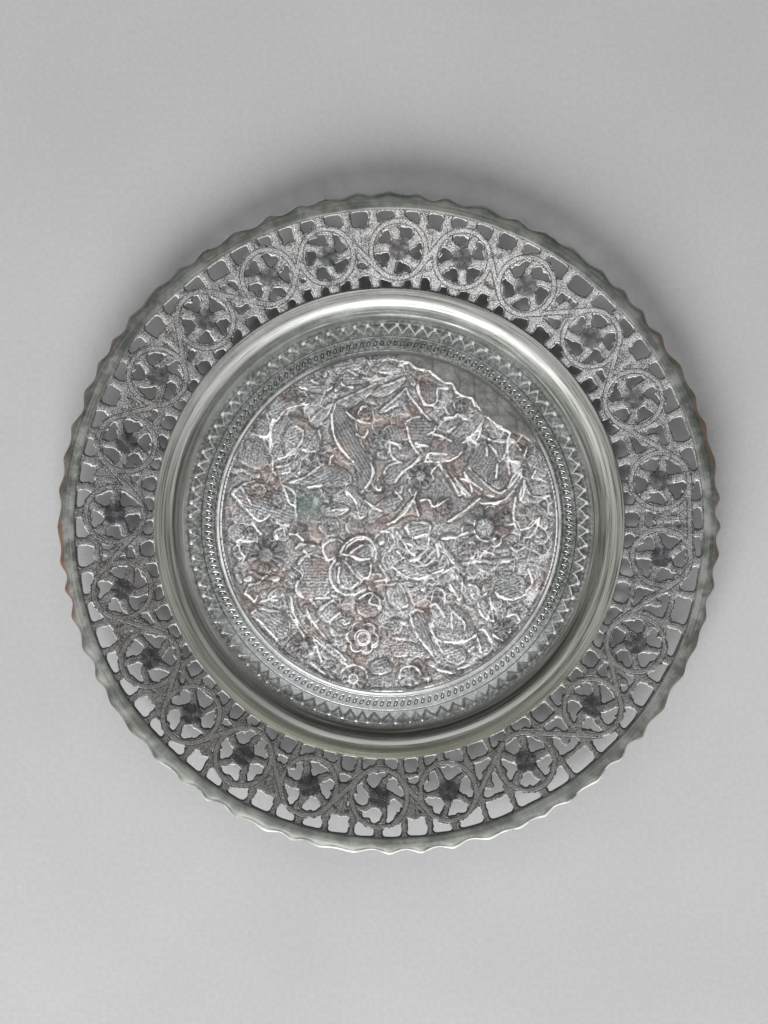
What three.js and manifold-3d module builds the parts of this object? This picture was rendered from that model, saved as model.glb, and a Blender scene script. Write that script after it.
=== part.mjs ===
// Round serving tray of tinned copper: a chased disc sweated onto a raised pan,
// a pierced gallery lapped under the pan's ledge, and a scalloped rim folded over the gallery's edge.
// Millimetres, +Z up. The origin is the middle of the face that the tray stands on.
import * as THREE from "three";
import { mergeVertices } from "three/addons/utils/BufferGeometryUtils.js";
import Module from "manifold-3d";

const wasm = await Module();
wasm.setup();

// Sheet and joints
const SHEET = 1.2; // copper sheet of the pan and the gallery
const SOLDER_GAP = 0.3; // room that the solder fills between lapped faces
const SOLDER_FILLET = 1.2; // width of a solder fillet

// Pan: flat floor, steep wall, rounded crest, and a ledge that falls outwards
const FLOOR_RADIUS = 106.3; // crease between the floor and the wall
const WALL_LEAN = 4; // how far the wall leans out from the crease to the crest
const CREST_HEIGHT = 10.4; // middle of the sheet above the standing face
const LEDGE_WIDTH = 7.7; // from the crest to the edge of the ledge
const LEDGE_FALL_DEG = 9;
const CORNER_ROUND = 2; // length of sheet that each bend takes up on either side

// Chased disc
const BORDER_WIDTH = 20.7; // floor left round the disc
const MEDALLION_SHEET = 1;

// Gallery: a lap under the ledge, a pierced cone, and a level hem inside the rim
const LAP_SHARE = 0.58; // part of the ledge's width that the gallery laps under
const GALLERY_WIDTH = 38; // seen from above, from the ledge to the rim
const GALLERY_RISE_DEG = 24;
const HEM_WIDTH = 4; // edge of the gallery that the rim holds

// Tracery: roundels as the chaser spaced them by eye, each with a flower on five arms
const ROUNDEL_ANGLES_DEG = [
  9, 27, 42.5, 60, 74.5, 88, 103, 116, 132, 147.5, 163, 178, 194, 209.5, 224, 238, 253, 268, 282.5, 300,
  318, 334, 353,
];
const ROUNDEL_CLEARANCE = 3.4; // from a roundel to the ledge and to the rim
const ROUNDEL_CLOSENESS = 0.48; // most of the distance to a neighbour that a roundel's radius takes
const STRAP_WIDTH = 3.5; // roundels and the stem that winds between them
const FLOWER_SHARE = 0.45; // of the roundel's radius
const FLOWER_LOBES = 5;
const FLOWER_LOBE_DEPTH = 0.14; // of the flower's radius
const FLOWER_TURN_DEG = 31; // each flower is turned by this much from the one before
const ARM_WIDTH = 4.6;
const STRUT_WIDTH = 2.9;
const STRUTS_PER_ROUNDEL = 3;
const TRACERY_MARGIN = 0.7; // unpierced edge beside the ledge and the rim

// Rim: a strip folded over the gallery's hem, with a scalloped lip
const LIP_WIDTH = 5; // beyond the gallery's edge, to the tips of the scallops
const RIM_SHEET = 0.9;
const LOWER_LEG_WIDTH = 2; // how far the folded-under leg reaches over the hem
const LIP_DROOP = 1.4; // the lip's edge lies this much below the hem
const SCALLOP_COUNT = 64;
const SCALLOP_DEPTH = 3.2;
const SCALLOP_LIFT = 0.7; // the lip also waves up and down by this much

// Facets
const TURN_STEPS = 60; // every round piece, so that lapped faces run side by side
const ROUNDEL_STEPS = 14;
const BEND_STEPS = 2;
const SCALLOP_STEPS = 3;

const rad = THREE.MathUtils.degToRad;
const ledgeFall = Math.tan(rad(LEDGE_FALL_DEG));
const galleryRise = Math.tan(rad(GALLERY_RISE_DEG));
const ledgeHalfDepth = SHEET / 2 / Math.cos(rad(LEDGE_FALL_DEG)); // measured straight down

// Radii, each from the one inside it
const medallionRadius = FLOOR_RADIUS - BORDER_WIDTH;
const crestRadius = FLOOR_RADIUS + WALL_LEAN;
const flangeRadius = crestRadius + LEDGE_WIDTH;
const lapStart = flangeRadius - LEDGE_WIDTH * LAP_SHARE;
const lapEnd = flangeRadius + SOLDER_GAP;
const traceryRadius = flangeRadius + GALLERY_WIDTH;
const galleryRadius = traceryRadius + HEM_WIDTH;
const rimRadius = galleryRadius + LIP_WIDTH;

// Heights of the middle of the sheet at a radius
const ledgeHeight = (r) => CREST_HEIGHT - (r - crestRadius) * ledgeFall;
const lapHeight = (r) => ledgeHeight(r) - ledgeHalfDepth * 2 - SOLDER_GAP;
const hemHeight = lapHeight(lapEnd) + (traceryRadius - lapEnd) * galleryRise;

const at = (r, z) => new THREE.Vector2(r, z);
const polar = (r, angle) => new THREE.Vector2(r * Math.cos(angle), r * Math.sin(angle));

// Solids

function toSolid(geometry) {
  const bare = geometry.clone();
  bare.deleteAttribute("normal");
  bare.deleteAttribute("uv");
  const merged = mergeVertices(bare);
  return new wasm.Manifold(
    new wasm.Mesh({
      numProp: 3,
      vertProperties: merged.attributes.position.array,
      triVerts: new Uint32Array(merged.index.array),
    }),
  );
}

function toGeometry(solid) {
  const mesh = solid.getMesh();
  const geometry = new THREE.BufferGeometry();
  geometry.setAttribute("position", new THREE.BufferAttribute(mesh.vertProperties, 3));
  geometry.setIndex(new THREE.BufferAttribute(mesh.triVerts, 1));
  geometry.computeVertexNormals();
  return geometry;
}

// A closed section in the (radius, height) plane turned about the Z axis.
function turned(section, steps) {
  const outline = THREE.ShapeUtils.area(section) > 0 ? section : [...section].reverse();
  const onAxis = outline.some((p) => p.x === 0);
  const points = onAxis ? outline : [...outline, outline[0]];
  return new THREE.LatheGeometry(points, steps).rotateX(Math.PI / 2);
}

// The outline of a sheet bent along a line in the (radius, height) plane.
function sheetSection(line, thickness) {
  const side = (sign) =>
    line.map((p, i) => {
      const before = line[Math.max(i - 1, 0)];
      const after = line[Math.min(i + 1, line.length - 1)];
      const normals = [
        [before, p],
        [p, after],
      ]
        .filter(([a, b]) => a.distanceTo(b) > 0)
        .map(([a, b]) => at(a.y - b.y, b.x - a.x).normalize());
      const middle = normals.reduce((sum, n) => sum.clone().add(n)).normalize();
      return p.clone().addScaledVector(middle, (sign * thickness) / 2 / middle.dot(normals[0]));
    });
  return [...side(-1), ...side(1).reverse()];
}

// A line through the corners, each inner corner rounded over the given length of sheet.
function bentLine(corners, round) {
  const path = new THREE.Path().moveTo(corners[0].x, corners[0].y);
  corners.slice(1, -1).forEach((corner, i) => {
    const towards = (other) => corner.clone().lerp(other, round / corner.distanceTo(other));
    const start = towards(corners[i]);
    const end = towards(corners[i + 2]);
    path.lineTo(start.x, start.y).quadraticCurveTo(corner.x, corner.y, end.x, end.y);
  });
  const last = corners.at(-1);
  return path.lineTo(last.x, last.y).getPoints(BEND_STEPS);
}

// Pan

function panSection() {
  const line = bentLine(
    [
      at(0, SHEET / 2),
      at(FLOOR_RADIUS, SHEET / 2),
      at(crestRadius, CREST_HEIGHT),
      at(flangeRadius, ledgeHeight(flangeRadius)),
    ],
    CORNER_ROUND,
  );
  return sheetSection(line, SHEET);
}

// Radius of the wall's outer face at a height
function wallRadius(z) {
  const lean = (crestRadius - FLOOR_RADIUS) / (CREST_HEIGHT - SHEET / 2);
  return FLOOR_RADIUS + (z - SHEET / 2) * lean + (SHEET / 2) * Math.hypot(1, lean);
}

// Medallion

function medallionSection() {
  const top = SHEET + MEDALLION_SHEET;
  return [at(0, SHEET), at(medallionRadius, SHEET), at(medallionRadius, top), at(0, top)];
}

// Gallery

function galleryShell() {
  const line = [
    at(lapStart, lapHeight(lapStart)),
    at(lapEnd, lapHeight(lapEnd)),
    at(traceryRadius, hemHeight),
    at(galleryRadius, hemHeight),
  ];
  return turned(sheetSection(line, SHEET), TURN_STEPS);
}

// A flat outline as a tall prism, for cutting the gallery's shell straight down.
function prism(outline, holes = []) {
  const shape = new THREE.Shape(outline);
  shape.holes = holes.map((hole) => new THREE.Path(hole));
  const depth = hemHeight * 2;
  const options = { depth, bevelEnabled: false };
  return toSolid(new THREE.ExtrudeGeometry(shape, options).translate(0, 0, hemHeight / 2 - depth / 2));
}

function circle(radius, steps, centre = at(0, 0)) {
  return Array.from({ length: steps }, (_, i) => polar(radius, (i / steps) * 2 * Math.PI).add(centre));
}

function annulus(inner, outer, steps, centre) {
  return prism(circle(outer, steps, centre), [circle(inner, steps, centre)]);
}

function bar(from, to, width) {
  const across = to.clone().sub(from).normalize().rotateAround(at(0, 0), Math.PI / 2);
  const corner = (end, sign) => end.clone().addScaledVector(across, (sign * width) / 2);
  return prism([corner(from, -1), corner(to, -1), corner(to, 1), corner(from, 1)]);
}

const roundelPath = (flangeRadius + traceryRadius) / 2; // circle that the flowers stand on
const roundelRoom = (traceryRadius - flangeRadius) / 2 - ROUNDEL_CLEARANCE;

const roundels = ROUNDEL_ANGLES_DEG.map((degrees, i, all) => {
  const steps = [all.at(i - 1), all[(i + 1) % all.length]].map((other) => {
    const turn = Math.abs(degrees - other);
    return rad(Math.min(turn, 360 - turn));
  });
  const nearest = 2 * roundelPath * Math.sin(Math.min(...steps) / 2);
  const radius = Math.min(roundelRoom, nearest * ROUNDEL_CLOSENESS) - STRAP_WIDTH / 2;
  return {
    angle: rad(degrees),
    stepBefore: steps[0],
    stepAfter: steps[1],
    centre: polar(roundelPath, rad(degrees)),
    radius,
    flowerRadius: radius * FLOWER_SHARE,
    side: i % 2 ? -1 : 1, // 1 where the stem passes outside the roundel, -1 where it passes inside
    turn: rad(degrees + i * FLOWER_TURN_DEG),
  };
});

function roundelRing({ radius, centre }) {
  return annulus(radius - STRAP_WIDTH / 2, radius + STRAP_WIDTH / 2, ROUNDEL_STEPS, centre);
}

function flower({ centre, flowerRadius, turn }) {
  const points = Array.from({ length: FLOWER_LOBES * 2 }, (_, i) => {
    const reach = flowerRadius * (1 - (i % 2) * FLOWER_LOBE_DEPTH);
    return polar(reach, turn + (i * Math.PI) / FLOWER_LOBES).add(centre);
  });
  return prism(points);
}

function flowerArms({ centre, radius, flowerRadius, turn }) {
  return Array.from({ length: FLOWER_LOBES }, (_, i) => {
    const angle = turn + (i * 2 * Math.PI) / FLOWER_LOBES;
    const reach = (r) => polar(r, angle).add(centre);
    return bar(reach(flowerRadius / 2), reach(radius), ARM_WIDTH);
  });
}

// The stretch of stem from one roundel to the next: their common tangent on the sides that it passes.
function stem(from, to) {
  const gap = to.centre.clone().sub(from.centre);
  const crossing = from.side !== to.side;
  const lean = crossing
    ? Math.acos(Math.min(1, (from.radius + to.radius) / gap.length()))
    : Math.PI / 2 - Math.asin((to.radius - from.radius) / gap.length());
  const out = gap.angle() - from.side * lean;
  const start = polar(from.radius, out).add(from.centre);
  const end = polar(crossing ? -to.radius : to.radius, out).add(to.centre);
  return bar(start, end, STRAP_WIDTH);
}

// Radial struts from a roundel to the ledge and to the rim.
function struts({ angle, radius, stepBefore, stepAfter }) {
  return Array.from({ length: STRUTS_PER_ROUNDEL }, (_, i) => {
    const place = i - (STRUTS_PER_ROUNDEL - 1) / 2;
    const swing = (place / STRUTS_PER_ROUNDEL) * (place < 0 ? stepBefore : stepAfter);
    const aside = roundelPath * Math.sin(swing);
    const rise = Math.sqrt(Math.max(radius ** 2 - aside ** 2, 0));
    const middle = roundelPath * Math.cos(swing);
    const reach = (r) => polar(r, angle + swing);
    const sunk = STRAP_WIDTH / 4; // each strut runs into the roundel's strap
    return [
      bar(reach(flangeRadius), reach(middle - rise + sunk), STRUT_WIDTH),
      bar(reach(middle + rise - sunk), reach(traceryRadius), STRUT_WIDTH),
    ];
  }).flat();
}

function tracery() {
  const straps = [
    annulus(lapStart - SHEET, flangeRadius + TRACERY_MARGIN, TURN_STEPS),
    annulus(traceryRadius - TRACERY_MARGIN, galleryRadius + SHEET, TURN_STEPS),
  ];
  roundels.forEach((roundel, i) => {
    const next = roundels[(i + 1) % roundels.length];
    straps.push(roundelRing(roundel), flower(roundel), stem(roundel, next));
    straps.push(...flowerArms(roundel), ...struts(roundel));
  });
  return straps.reduce((whole, strap) => whole.add(strap));
}

// Rim

const hemRoom = SHEET / 2 + SOLDER_GAP; // from the middle of the hem to the rim's legs
const foldRadius = galleryRadius + SOLDER_GAP; // bottom of the fold, beyond the gallery's edge

function rimSection() {
  const lipHeight = hemHeight - LIP_DROOP;
  const back = hemRoom + RIM_SHEET;
  return [
    at(traceryRadius, hemHeight + hemRoom),
    at(foldRadius, hemHeight + hemRoom),
    at(foldRadius, hemHeight - hemRoom),
    at(galleryRadius - LOWER_LEG_WIDTH, hemHeight - hemRoom),
    at(galleryRadius - LOWER_LEG_WIDTH, hemHeight - back),
    at(foldRadius, hemHeight - back),
    at(rimRadius, lipHeight - RIM_SHEET),
    at(rimRadius, lipHeight + RIM_SHEET),
    at((foldRadius + rimRadius) / 2, hemHeight + back - LIP_DROOP / 2),
    at(foldRadius, hemHeight + back),
    at(traceryRadius, hemHeight + back),
  ];
}

// The lip is drawn in between the scallops, and waves up and down with them.
function scalloped(geometry) {
  const position = geometry.getAttribute("position");
  for (let i = 0; i < position.count; i++) {
    const flat = at(position.getX(i), position.getY(i));
    const reach = THREE.MathUtils.smoothstep(flat.length(), foldRadius, rimRadius);
    const wave = Math.cos(flat.angle() * SCALLOP_COUNT);
    const radius = flat.length() - (reach * SCALLOP_DEPTH * (1 - wave)) / 2;
    flat.setLength(radius);
    position.setXYZ(i, flat.x, flat.y, position.getZ(i) + reach * SCALLOP_LIFT * wave);
  }
  return geometry;
}

// Solder

function medallionSolder() {
  const start = medallionRadius + SOLDER_GAP;
  return [at(start, SHEET), at(start + SOLDER_FILLET, SHEET), at(start, SHEET + MEDALLION_SHEET * 0.8)];
}

// Fills the pocket between the pan's wall, the underside of its ledge and the gallery's inner edge.
function gallerySolder() {
  const outer = lapStart - SOLDER_GAP;
  const top = ledgeHeight(outer) - ledgeHalfDepth - SOLDER_GAP;
  const bottom = lapHeight(lapStart) - SHEET / 2;
  return [
    at(wallRadius(bottom) + SOLDER_GAP, bottom),
    at(outer, bottom),
    at(outer, top),
    at((wallRadius(top) + SOLDER_GAP + outer) / 2, top),
  ];
}

// Lies in the corner between the gallery's underside and the rim's folded-under leg.
function rimSolder() {
  const outer = galleryRadius - LOWER_LEG_WIDTH - SOLDER_GAP;
  const top = hemHeight - hemRoom;
  return [at(outer - SOLDER_FILLET, top), at(outer, top - SOLDER_FILLET), at(outer, top)];
}

// Assembly

const tinnedCopper = { color: 0x8a8d88, roughness: 0.42, metalness: 0.85 };
const wornCopper = { color: 0x8f8480, roughness: 0.5, metalness: 0.8 };
const patina = { color: 0x74786f, roughness: 0.5, metalness: 0.75 };
const tinSolder = { color: 0xb4b6b8, roughness: 0.35, metalness: 0.9 };

const tray = new THREE.Group();

function addPiece(name, geometry, finish) {
  const piece = new THREE.Mesh(geometry, new THREE.MeshStandardMaterial(finish));
  piece.name = name;
  tray.add(piece);
}

const pierced = toSolid(galleryShell()).intersect(tracery());
const rimSteps = SCALLOP_COUNT * SCALLOP_STEPS;

addPiece("pan", turned(panSection(), TURN_STEPS), tinnedCopper);
addPiece("medallion_disc", turned(medallionSection(), TURN_STEPS), wornCopper);
addPiece("medallion_solder", turned(medallionSolder(), TURN_STEPS), tinSolder);
addPiece("gallery", toGeometry(pierced), patina);
addPiece("gallery_solder", turned(gallerySolder(), TURN_STEPS), tinSolder);
addPiece("scalloped_rim", scalloped(turned(rimSection(), rimSteps)), patina);
addPiece("rim_solder", turned(rimSolder(), TURN_STEPS), tinSolder);

export default tray;
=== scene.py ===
import math

import bmesh
import bpy
import numpy as np
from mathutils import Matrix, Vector


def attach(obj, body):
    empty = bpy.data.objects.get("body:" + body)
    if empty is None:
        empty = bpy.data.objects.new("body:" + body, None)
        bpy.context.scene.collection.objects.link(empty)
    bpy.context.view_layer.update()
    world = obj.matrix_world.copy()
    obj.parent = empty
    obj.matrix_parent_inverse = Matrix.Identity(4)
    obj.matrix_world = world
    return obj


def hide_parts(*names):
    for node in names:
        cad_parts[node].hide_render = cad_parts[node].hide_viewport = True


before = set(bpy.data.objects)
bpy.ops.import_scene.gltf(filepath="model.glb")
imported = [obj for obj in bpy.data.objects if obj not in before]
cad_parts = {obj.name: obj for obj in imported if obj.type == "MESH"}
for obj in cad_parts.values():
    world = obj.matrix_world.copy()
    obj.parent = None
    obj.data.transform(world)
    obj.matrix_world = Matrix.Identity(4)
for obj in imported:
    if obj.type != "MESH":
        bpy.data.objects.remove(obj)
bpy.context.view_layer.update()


# PAN
# The tray's floor, wall and ledge, raised from one sheet of copper and tinned all over.
# The floor's border is chased by hand: a zigzag, a row of punched rings and incised lines between them.

SHEET = 1.2
FLOOR_RADIUS = 106.3
CREST_RADIUS = 110.3
CREST_HEIGHT = 10.4
LEDGE_RADIUS = 118.0
LEDGE_FALL = math.tan(math.radians(9))
CREASE_RADIUS = 105.4
LEFT_SHADE_LINE = 108.6
CREST_SHINE = 111.2
BORDER_INNER = 87.4
BORDER_OUTER = 102.6
BORDER_ROWS = 12
TEETH = 92
TEETH_FOOT = 96.2
TEETH_RISE = 4.2
TEETH_MIDDLE = 98.2
TOOTH_SPACING = 6.8
TIP_RADIUS = 100.6
TIP_HIGHLIGHT_RADIUS = 99.7
BEADS = 166
BEAD_RADIUS = 91.2
BEAD_SPACING = 2 * math.pi * BEAD_RADIUS / BEADS
BEAD_LEAN = 0.35
LINE_RADII = (88.1, 94.9, 101.8)
PAN_STEPS = 384


def rounded(corners, reaches, steps):
    """The corners of a bent sheet's middle line, each inner one rounded over its own reach."""
    line = [Vector(corners[0])]
    for before, corner, after, reach in zip(corners, corners[1:], corners[2:], reaches):
        corner = Vector(corner)
        start = corner + (Vector(before) - corner).normalized() * reach
        end = corner + (Vector(after) - corner).normalized() * reach
        for step in range(steps + 1):
            t = step / steps
            line.append(start.lerp(corner, t).lerp(corner.lerp(end, t), t))
    return line + [Vector(corners[-1])]


def sheet_section(line, thickness):
    """Both faces of a sheet bent along a line of (radius, height)."""
    faces = ([], [])
    for i, point in enumerate(line):
        along = (line[min(i + 1, len(line) - 1)] - line[max(i - 1, 0)]).normalized()
        across = Vector((-along.y, along.x)) * thickness / 2
        faces[0].append(point - across)
        faces[1].append(point + across)
    return faces[0] + faces[1][::-1]


def spun(section, steps, closed=True):
    """A section of (radius, height) in millimetres, spun once round the tray's middle."""
    shape = bmesh.new()
    ring = [shape.verts.new((r / 1000, 0, z / 1000)) for r, z in section]
    pairs = list(zip(ring, ring[1:] + ring[:1])) if closed else list(zip(ring, ring[1:]))
    edges = [shape.edges.new(pair) for pair in pairs]
    bmesh.ops.spin(shape, geom=ring + edges, cent=(0, 0, 0), axis=(0, 0, 1), angle=2 * math.pi,
                   steps=steps, use_merge=True)
    bmesh.ops.remove_doubles(shape, verts=shape.verts[:], dist=1e-6)
    bmesh.ops.recalc_face_normals(shape, faces=shape.faces[:])
    return shape


def laid_down(name, shape, crease=40):
    """Ends the modelling of a piece: a smooth object at the origin, sharp where it is creased."""
    mesh = bpy.data.meshes.new(name)
    shape.to_mesh(mesh)
    shape.free()
    mesh.shade_smooth()
    mesh.set_sharp_from_angle(angle=math.radians(crease))
    piece = bpy.data.objects.new(name, mesh)
    bpy.context.scene.collection.objects.link(piece)
    return piece


def points_of(mesh):
    """The mesh's points in millimetres."""
    flat = np.empty(len(mesh.vertices) * 3, np.float32)
    mesh.vertices.foreach_get("co", flat)
    return flat.reshape(-1, 3).astype(float) * 1000


def move_points(mesh, points):
    mesh.vertices.foreach_set("co", (points / 1000).astype(np.float32).ravel())
    mesh.update()


def ramp(value, low, high):
    """0 at low, 1 at high, smooth between."""
    t = np.clip((value - low) / (high - low), 0, 1)
    return t * t * (3 - 2 * t)


def store(mesh, name, values):
    """Keeps a value at each point, for the finish to read."""
    mesh.attributes.new(name, "FLOAT", "POINT").data.foreach_set("value", values.astype(np.float32))


class Signal:
    """A socket in a finish's nodes. Arithmetic on it adds Math nodes."""

    def __init__(self, socket):
        self.socket = socket

    def node(self, kind, inputs, out=0, **settings):
        tree = self.socket.id_data
        added = tree.nodes.new(kind)
        for name, value in settings.items():
            setattr(added, name, value)
        for key, value in inputs.items():
            if isinstance(value, Signal):
                tree.links.new(value.socket, added.inputs[key])
            else:
                added.inputs[key].default_value = value
        return Signal(added.outputs[out])

    def maths(self, operation, *others):
        return self.node("ShaderNodeMath", dict(enumerate((self, *others))), operation=operation)

    def __add__(self, other):
        return self.maths("ADD", other)

    def __sub__(self, other):
        return self.maths("SUBTRACT", other)

    def __rsub__(self, other):
        return self.node("ShaderNodeMath", {0: other, 1: self}, operation="SUBTRACT")

    def __mul__(self, other):
        return self.maths("MULTIPLY", other)

    def __truediv__(self, other):
        return self.maths("DIVIDE", other)

    __radd__ = __add__
    __rmul__ = __mul__

    def rise(self, low, high):
        """0 below low, 1 above high, smooth between. With low over high it falls."""
        if low > high:
            return 1 - self.rise(high, low)
        return self.node("ShaderNodeMapRange", {"Value": self, "From Min": low, "From Max": high},
                         interpolation_type="SMOOTHSTEP")

    def off(self, middle):
        """How far the value lies from a middle, either way."""
        return (self - middle).maths("ABSOLUTE")

    def blend(self, below, above):
        """A colour between two, by this value."""
        below, above = ((*colour, 1) if isinstance(colour, tuple) else colour for colour in (below, above))
        return self.node("ShaderNodeMix", {0: self, 6: below, 7: above}, out=2, data_type="RGBA")

    def split(self):
        tree = self.socket.id_data
        parts = tree.nodes.new("ShaderNodeSeparateXYZ")
        tree.links.new(self.socket, parts.inputs[0])
        return [Signal(part) for part in parts.outputs]

    def noise(self, scale, detail=3.0, roughness=0.55):
        return self.node("ShaderNodeTexNoise", {"Vector": self, "Scale": scale, "Detail": detail,
                                                "Roughness": roughness})

    def vector(self, x, y, z):
        return self.node("ShaderNodeCombineXYZ", {0: x, 1: y, 2: z})

    def attribute(self, name, out="Fac"):
        return self.node("ShaderNodeAttribute", {}, out=out, attribute_name=name)


def new_finish(name):
    """A finish's material, its shader and the place on the tray in metres."""
    material = bpy.data.materials.new(name)
    material.use_nodes = True
    nodes = material.node_tree.nodes
    return material, nodes["Principled BSDF"], Signal(nodes.new("ShaderNodeTexCoord").outputs["Object"])


def round_the_tray(place):
    """Radius in millimetres, the angle in turns, a place that is drawn out along the turning marks, and how far
    to the right and to the top of the picture the spot lies, from -1 to 1."""
    x, y, _ = place.split()
    radius = (x * x + y * y).maths("SQRT")
    turns = y.maths("ARCTAN2", x) / (2 * math.pi)
    east, north = x / radius, y / radius
    streaks = place.vector(east * 2.2, north * 2.2, radius * 900)
    return radius * 1000, turns, streaks, east, north


def layered(ground, layers):
    """Coats over a ground, one after another: how much each covers, and its colour."""
    for cover, colour in layers:
        ground = cover.blend(ground, colour)
    return ground


def dress(shader, colour, roughness, height, strength, metallic, depth=0.0004):
    """Plugs a finish's signals into its shader; the height is in units of the depth."""
    tree = shader.id_data
    tree.links.new(colour.socket, shader.inputs["Base Color"])
    tree.links.new(roughness.socket, shader.inputs["Roughness"])
    bump = height.node("ShaderNodeBump", {"Height": height, "Strength": strength, "Distance": depth})
    tree.links.new(bump.socket, shader.inputs["Normal"])
    tree.links.new(metallic.socket, shader.inputs["Metallic"])


pan_line = rounded([(0, SHEET / 2), (FLOOR_RADIUS, SHEET / 2), (CREST_RADIUS, CREST_HEIGHT),
                    (LEDGE_RADIUS, CREST_HEIGHT - (LEDGE_RADIUS - CREST_RADIUS) * LEDGE_FALL)], (2, 5.4), 12)
pan_line[1:1] = [Vector((row, SHEET / 2)) for row in np.linspace(BORDER_INNER, BORDER_OUTER, BORDER_ROWS + 1)]
pan_shape = spun(sheet_section(pan_line, SHEET), PAN_STEPS, closed=False)
on_border = {vert for vert in pan_shape.verts if vert.co.z > SHEET * 0.0009
             and BORDER_INNER - 0.1 < vert.co.xy.length * 1000 < BORDER_OUTER + 0.1}
bmesh.ops.subdivide_edges(pan_shape, edges=[edge for edge in pan_shape.edges if on_border.issuperset(edge.verts)],
                          cuts=2, use_grid_fill=True)
bmesh.ops.triangulate(pan_shape, faces=[face for face in pan_shape.faces if len(face.verts) > 4])
pan = laid_down("tray_pan", pan_shape, 50)
pan_points = points_of(pan.data)
pan_angle = np.arctan2(pan_points[:, 1], pan_points[:, 0])
pan_radius = np.hypot(pan_points[:, 0], pan_points[:, 1])
# Raised by hand, so the wall and the ledge wander a little
lift = np.clip((pan_radius - FLOOR_RADIUS) / 4, 0, 1)
pan_points[:, 2] += lift * (0.13 * np.sin(5 * pan_angle + 0.7) + 0.07 * np.sin(13 * pan_angle + 2))
wander = lift * (0.16 * np.sin(3 * pan_angle + 1.1) + 0.08 * np.sin(11 * pan_angle))
pan_points[:, :2] *= (1 + wander / np.maximum(pan_radius, 1))[:, None]
pan_x, pan_y = pan_points[:, 0], pan_points[:, 1]
# The chasing drifts off its even spacing, in the relief here and in the finish alike
drift = 0.13 * np.sin(pan_x * 0.21 + 1.3 * np.sin(pan_y * 0.13)) * np.cos(pan_y * 0.17 + 1)
drift += 0.06 * np.sin(pan_x * 0.47 - pan_y * 0.39)
store(pan.data, "hand", drift)
pan_turns = pan_angle / (2 * math.pi)
teeth_turn = pan_turns * TEETH + drift * 0.9
tooth_height = (2 * np.abs((teeth_turn - 0.5) % 1 - 0.5)) ** 0.8
over_tooth = (pan_radius - TEETH_FOOT + drift * 1.6) / TEETH_RISE - tooth_height
in_teeth = ramp(np.abs(pan_radius - TEETH_FOOT - TEETH_RISE / 2), 2.9, 2.2)
from_tip = np.hypot((teeth_turn % 1 - 0.5) * TOOTH_SPACING, pan_radius - TIP_RADIUS)
bead_out = pan_radius - BEAD_RADIUS
bead_across = ((pan_turns * BEADS) % 1 - 0.5) * BEAD_SPACING + bead_out * BEAD_LEAN
from_bead = np.sqrt(bead_across ** 2 * 1.5 + bead_out ** 2 * 0.55)
# Relief of the border: dots at the tips, the zigzag, the punched rings and the incised lines
chasing = 0.1 * ramp(from_tip, 1, 0.4) * ramp(pan_y, -80, -30)
chasing += 0.09 * in_teeth * (ramp(np.abs(over_tooth), 0.3, 0.05) - ramp(over_tooth, 0.1, 0.5))
chasing += 0.1 * ramp(from_bead, 0.6, 0.2) - 0.17 * ramp(from_bead, 1.4, 0.8)
for line_radius in LINE_RADII:
    chasing -= 0.09 * ramp(np.abs(pan_radius - line_radius), 0.55, 0.1)
pan_points[:, 2] += np.where((pan_points[:, 2] > SHEET * 0.9) & (pan_radius < BORDER_OUTER - 0.1), chasing, 0)
move_points(pan.data, pan_points)

material, shader, place = new_finish("chased_tinned_pan")
radius, turns, streaks, east, north = round_the_tray(place)
scratches = streaks.noise(1.0, 5, 0.7)
mottle = place.noise(55, 5, 0.65)
stains = place.noise(16, 4, 0.6)
grain = place.noise(620, 3, 0.65)
low_side, high_side = north.rise(-0.3, -0.8), north.rise(-0.1, 0.7)
left_side, right_side = east.rise(-0.25, -0.8), east.rise(0.2, 0.8)
border, raised, ledge = radius.rise(104, 102.5), radius.rise(102, 104.5), radius.rise(112, 113.5)

# The zigzag
hand = place.attribute("hand")
zigzag = turns * TEETH + hand * 0.9
tooth = (zigzag.maths("PINGPONG", 0.5) * 2).maths("POWER", 0.8)
tooth_rise = (radius - TEETH_FOOT + hand * 1.6) / TEETH_RISE
from_teeth = radius.off(TEETH_MIDDLE)
tooth_line = tooth_rise.off(tooth).rise(0.15, 0.04) * from_teeth.rise(2.9, 2.4)
wedge = (tooth_rise - tooth).rise(0.05, 0.4) * from_teeth.rise(2.9, 2.2) * 0.55
arch = tooth_rise.off(tooth).rise(0.42, 0.14) * from_teeth.rise(2.9, 2.2)
tip_along = (zigzag.maths("FRACT") - 0.5) * TOOTH_SPACING
tip_up = radius - TIP_RADIUS
tip_dot = (tip_along * tip_along + tip_up * tip_up).rise(1.0, 0.25)
# Painted highlights just inside the tooth tips, on the bottom side only
tip_highlight_up = radius - TIP_HIGHLIGHT_RADIUS
tip_highlight = (tip_along * tip_along * 0.6 + tip_highlight_up * tip_highlight_up).rise(2.6, 0.8) * low_side * mottle.rise(0.3, 0.5)

# The punched rings and the incised lines
bead_up = radius - BEAD_RADIUS
lean = ((turns * BEADS).maths("FRACT") - 0.5) * BEAD_SPACING + bead_up * BEAD_LEAN
bead_size = (lean * lean * 1.5 + bead_up * bead_up * 0.55).maths("SQRT")
bead_ring = bead_size.off(0.85).rise(0.6, 0.2)
bead_eye = bead_size.rise(0.45, 0.15)
inner_line, middle_line, outer_line = (radius.off(line_radius) for line_radius in LINE_RADII)
incised = middle_line.rise(0.45, 0.12) + inner_line.rise(0.4, 0.1) + outer_line.rise(0.35, 0.1) * 0.5
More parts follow.
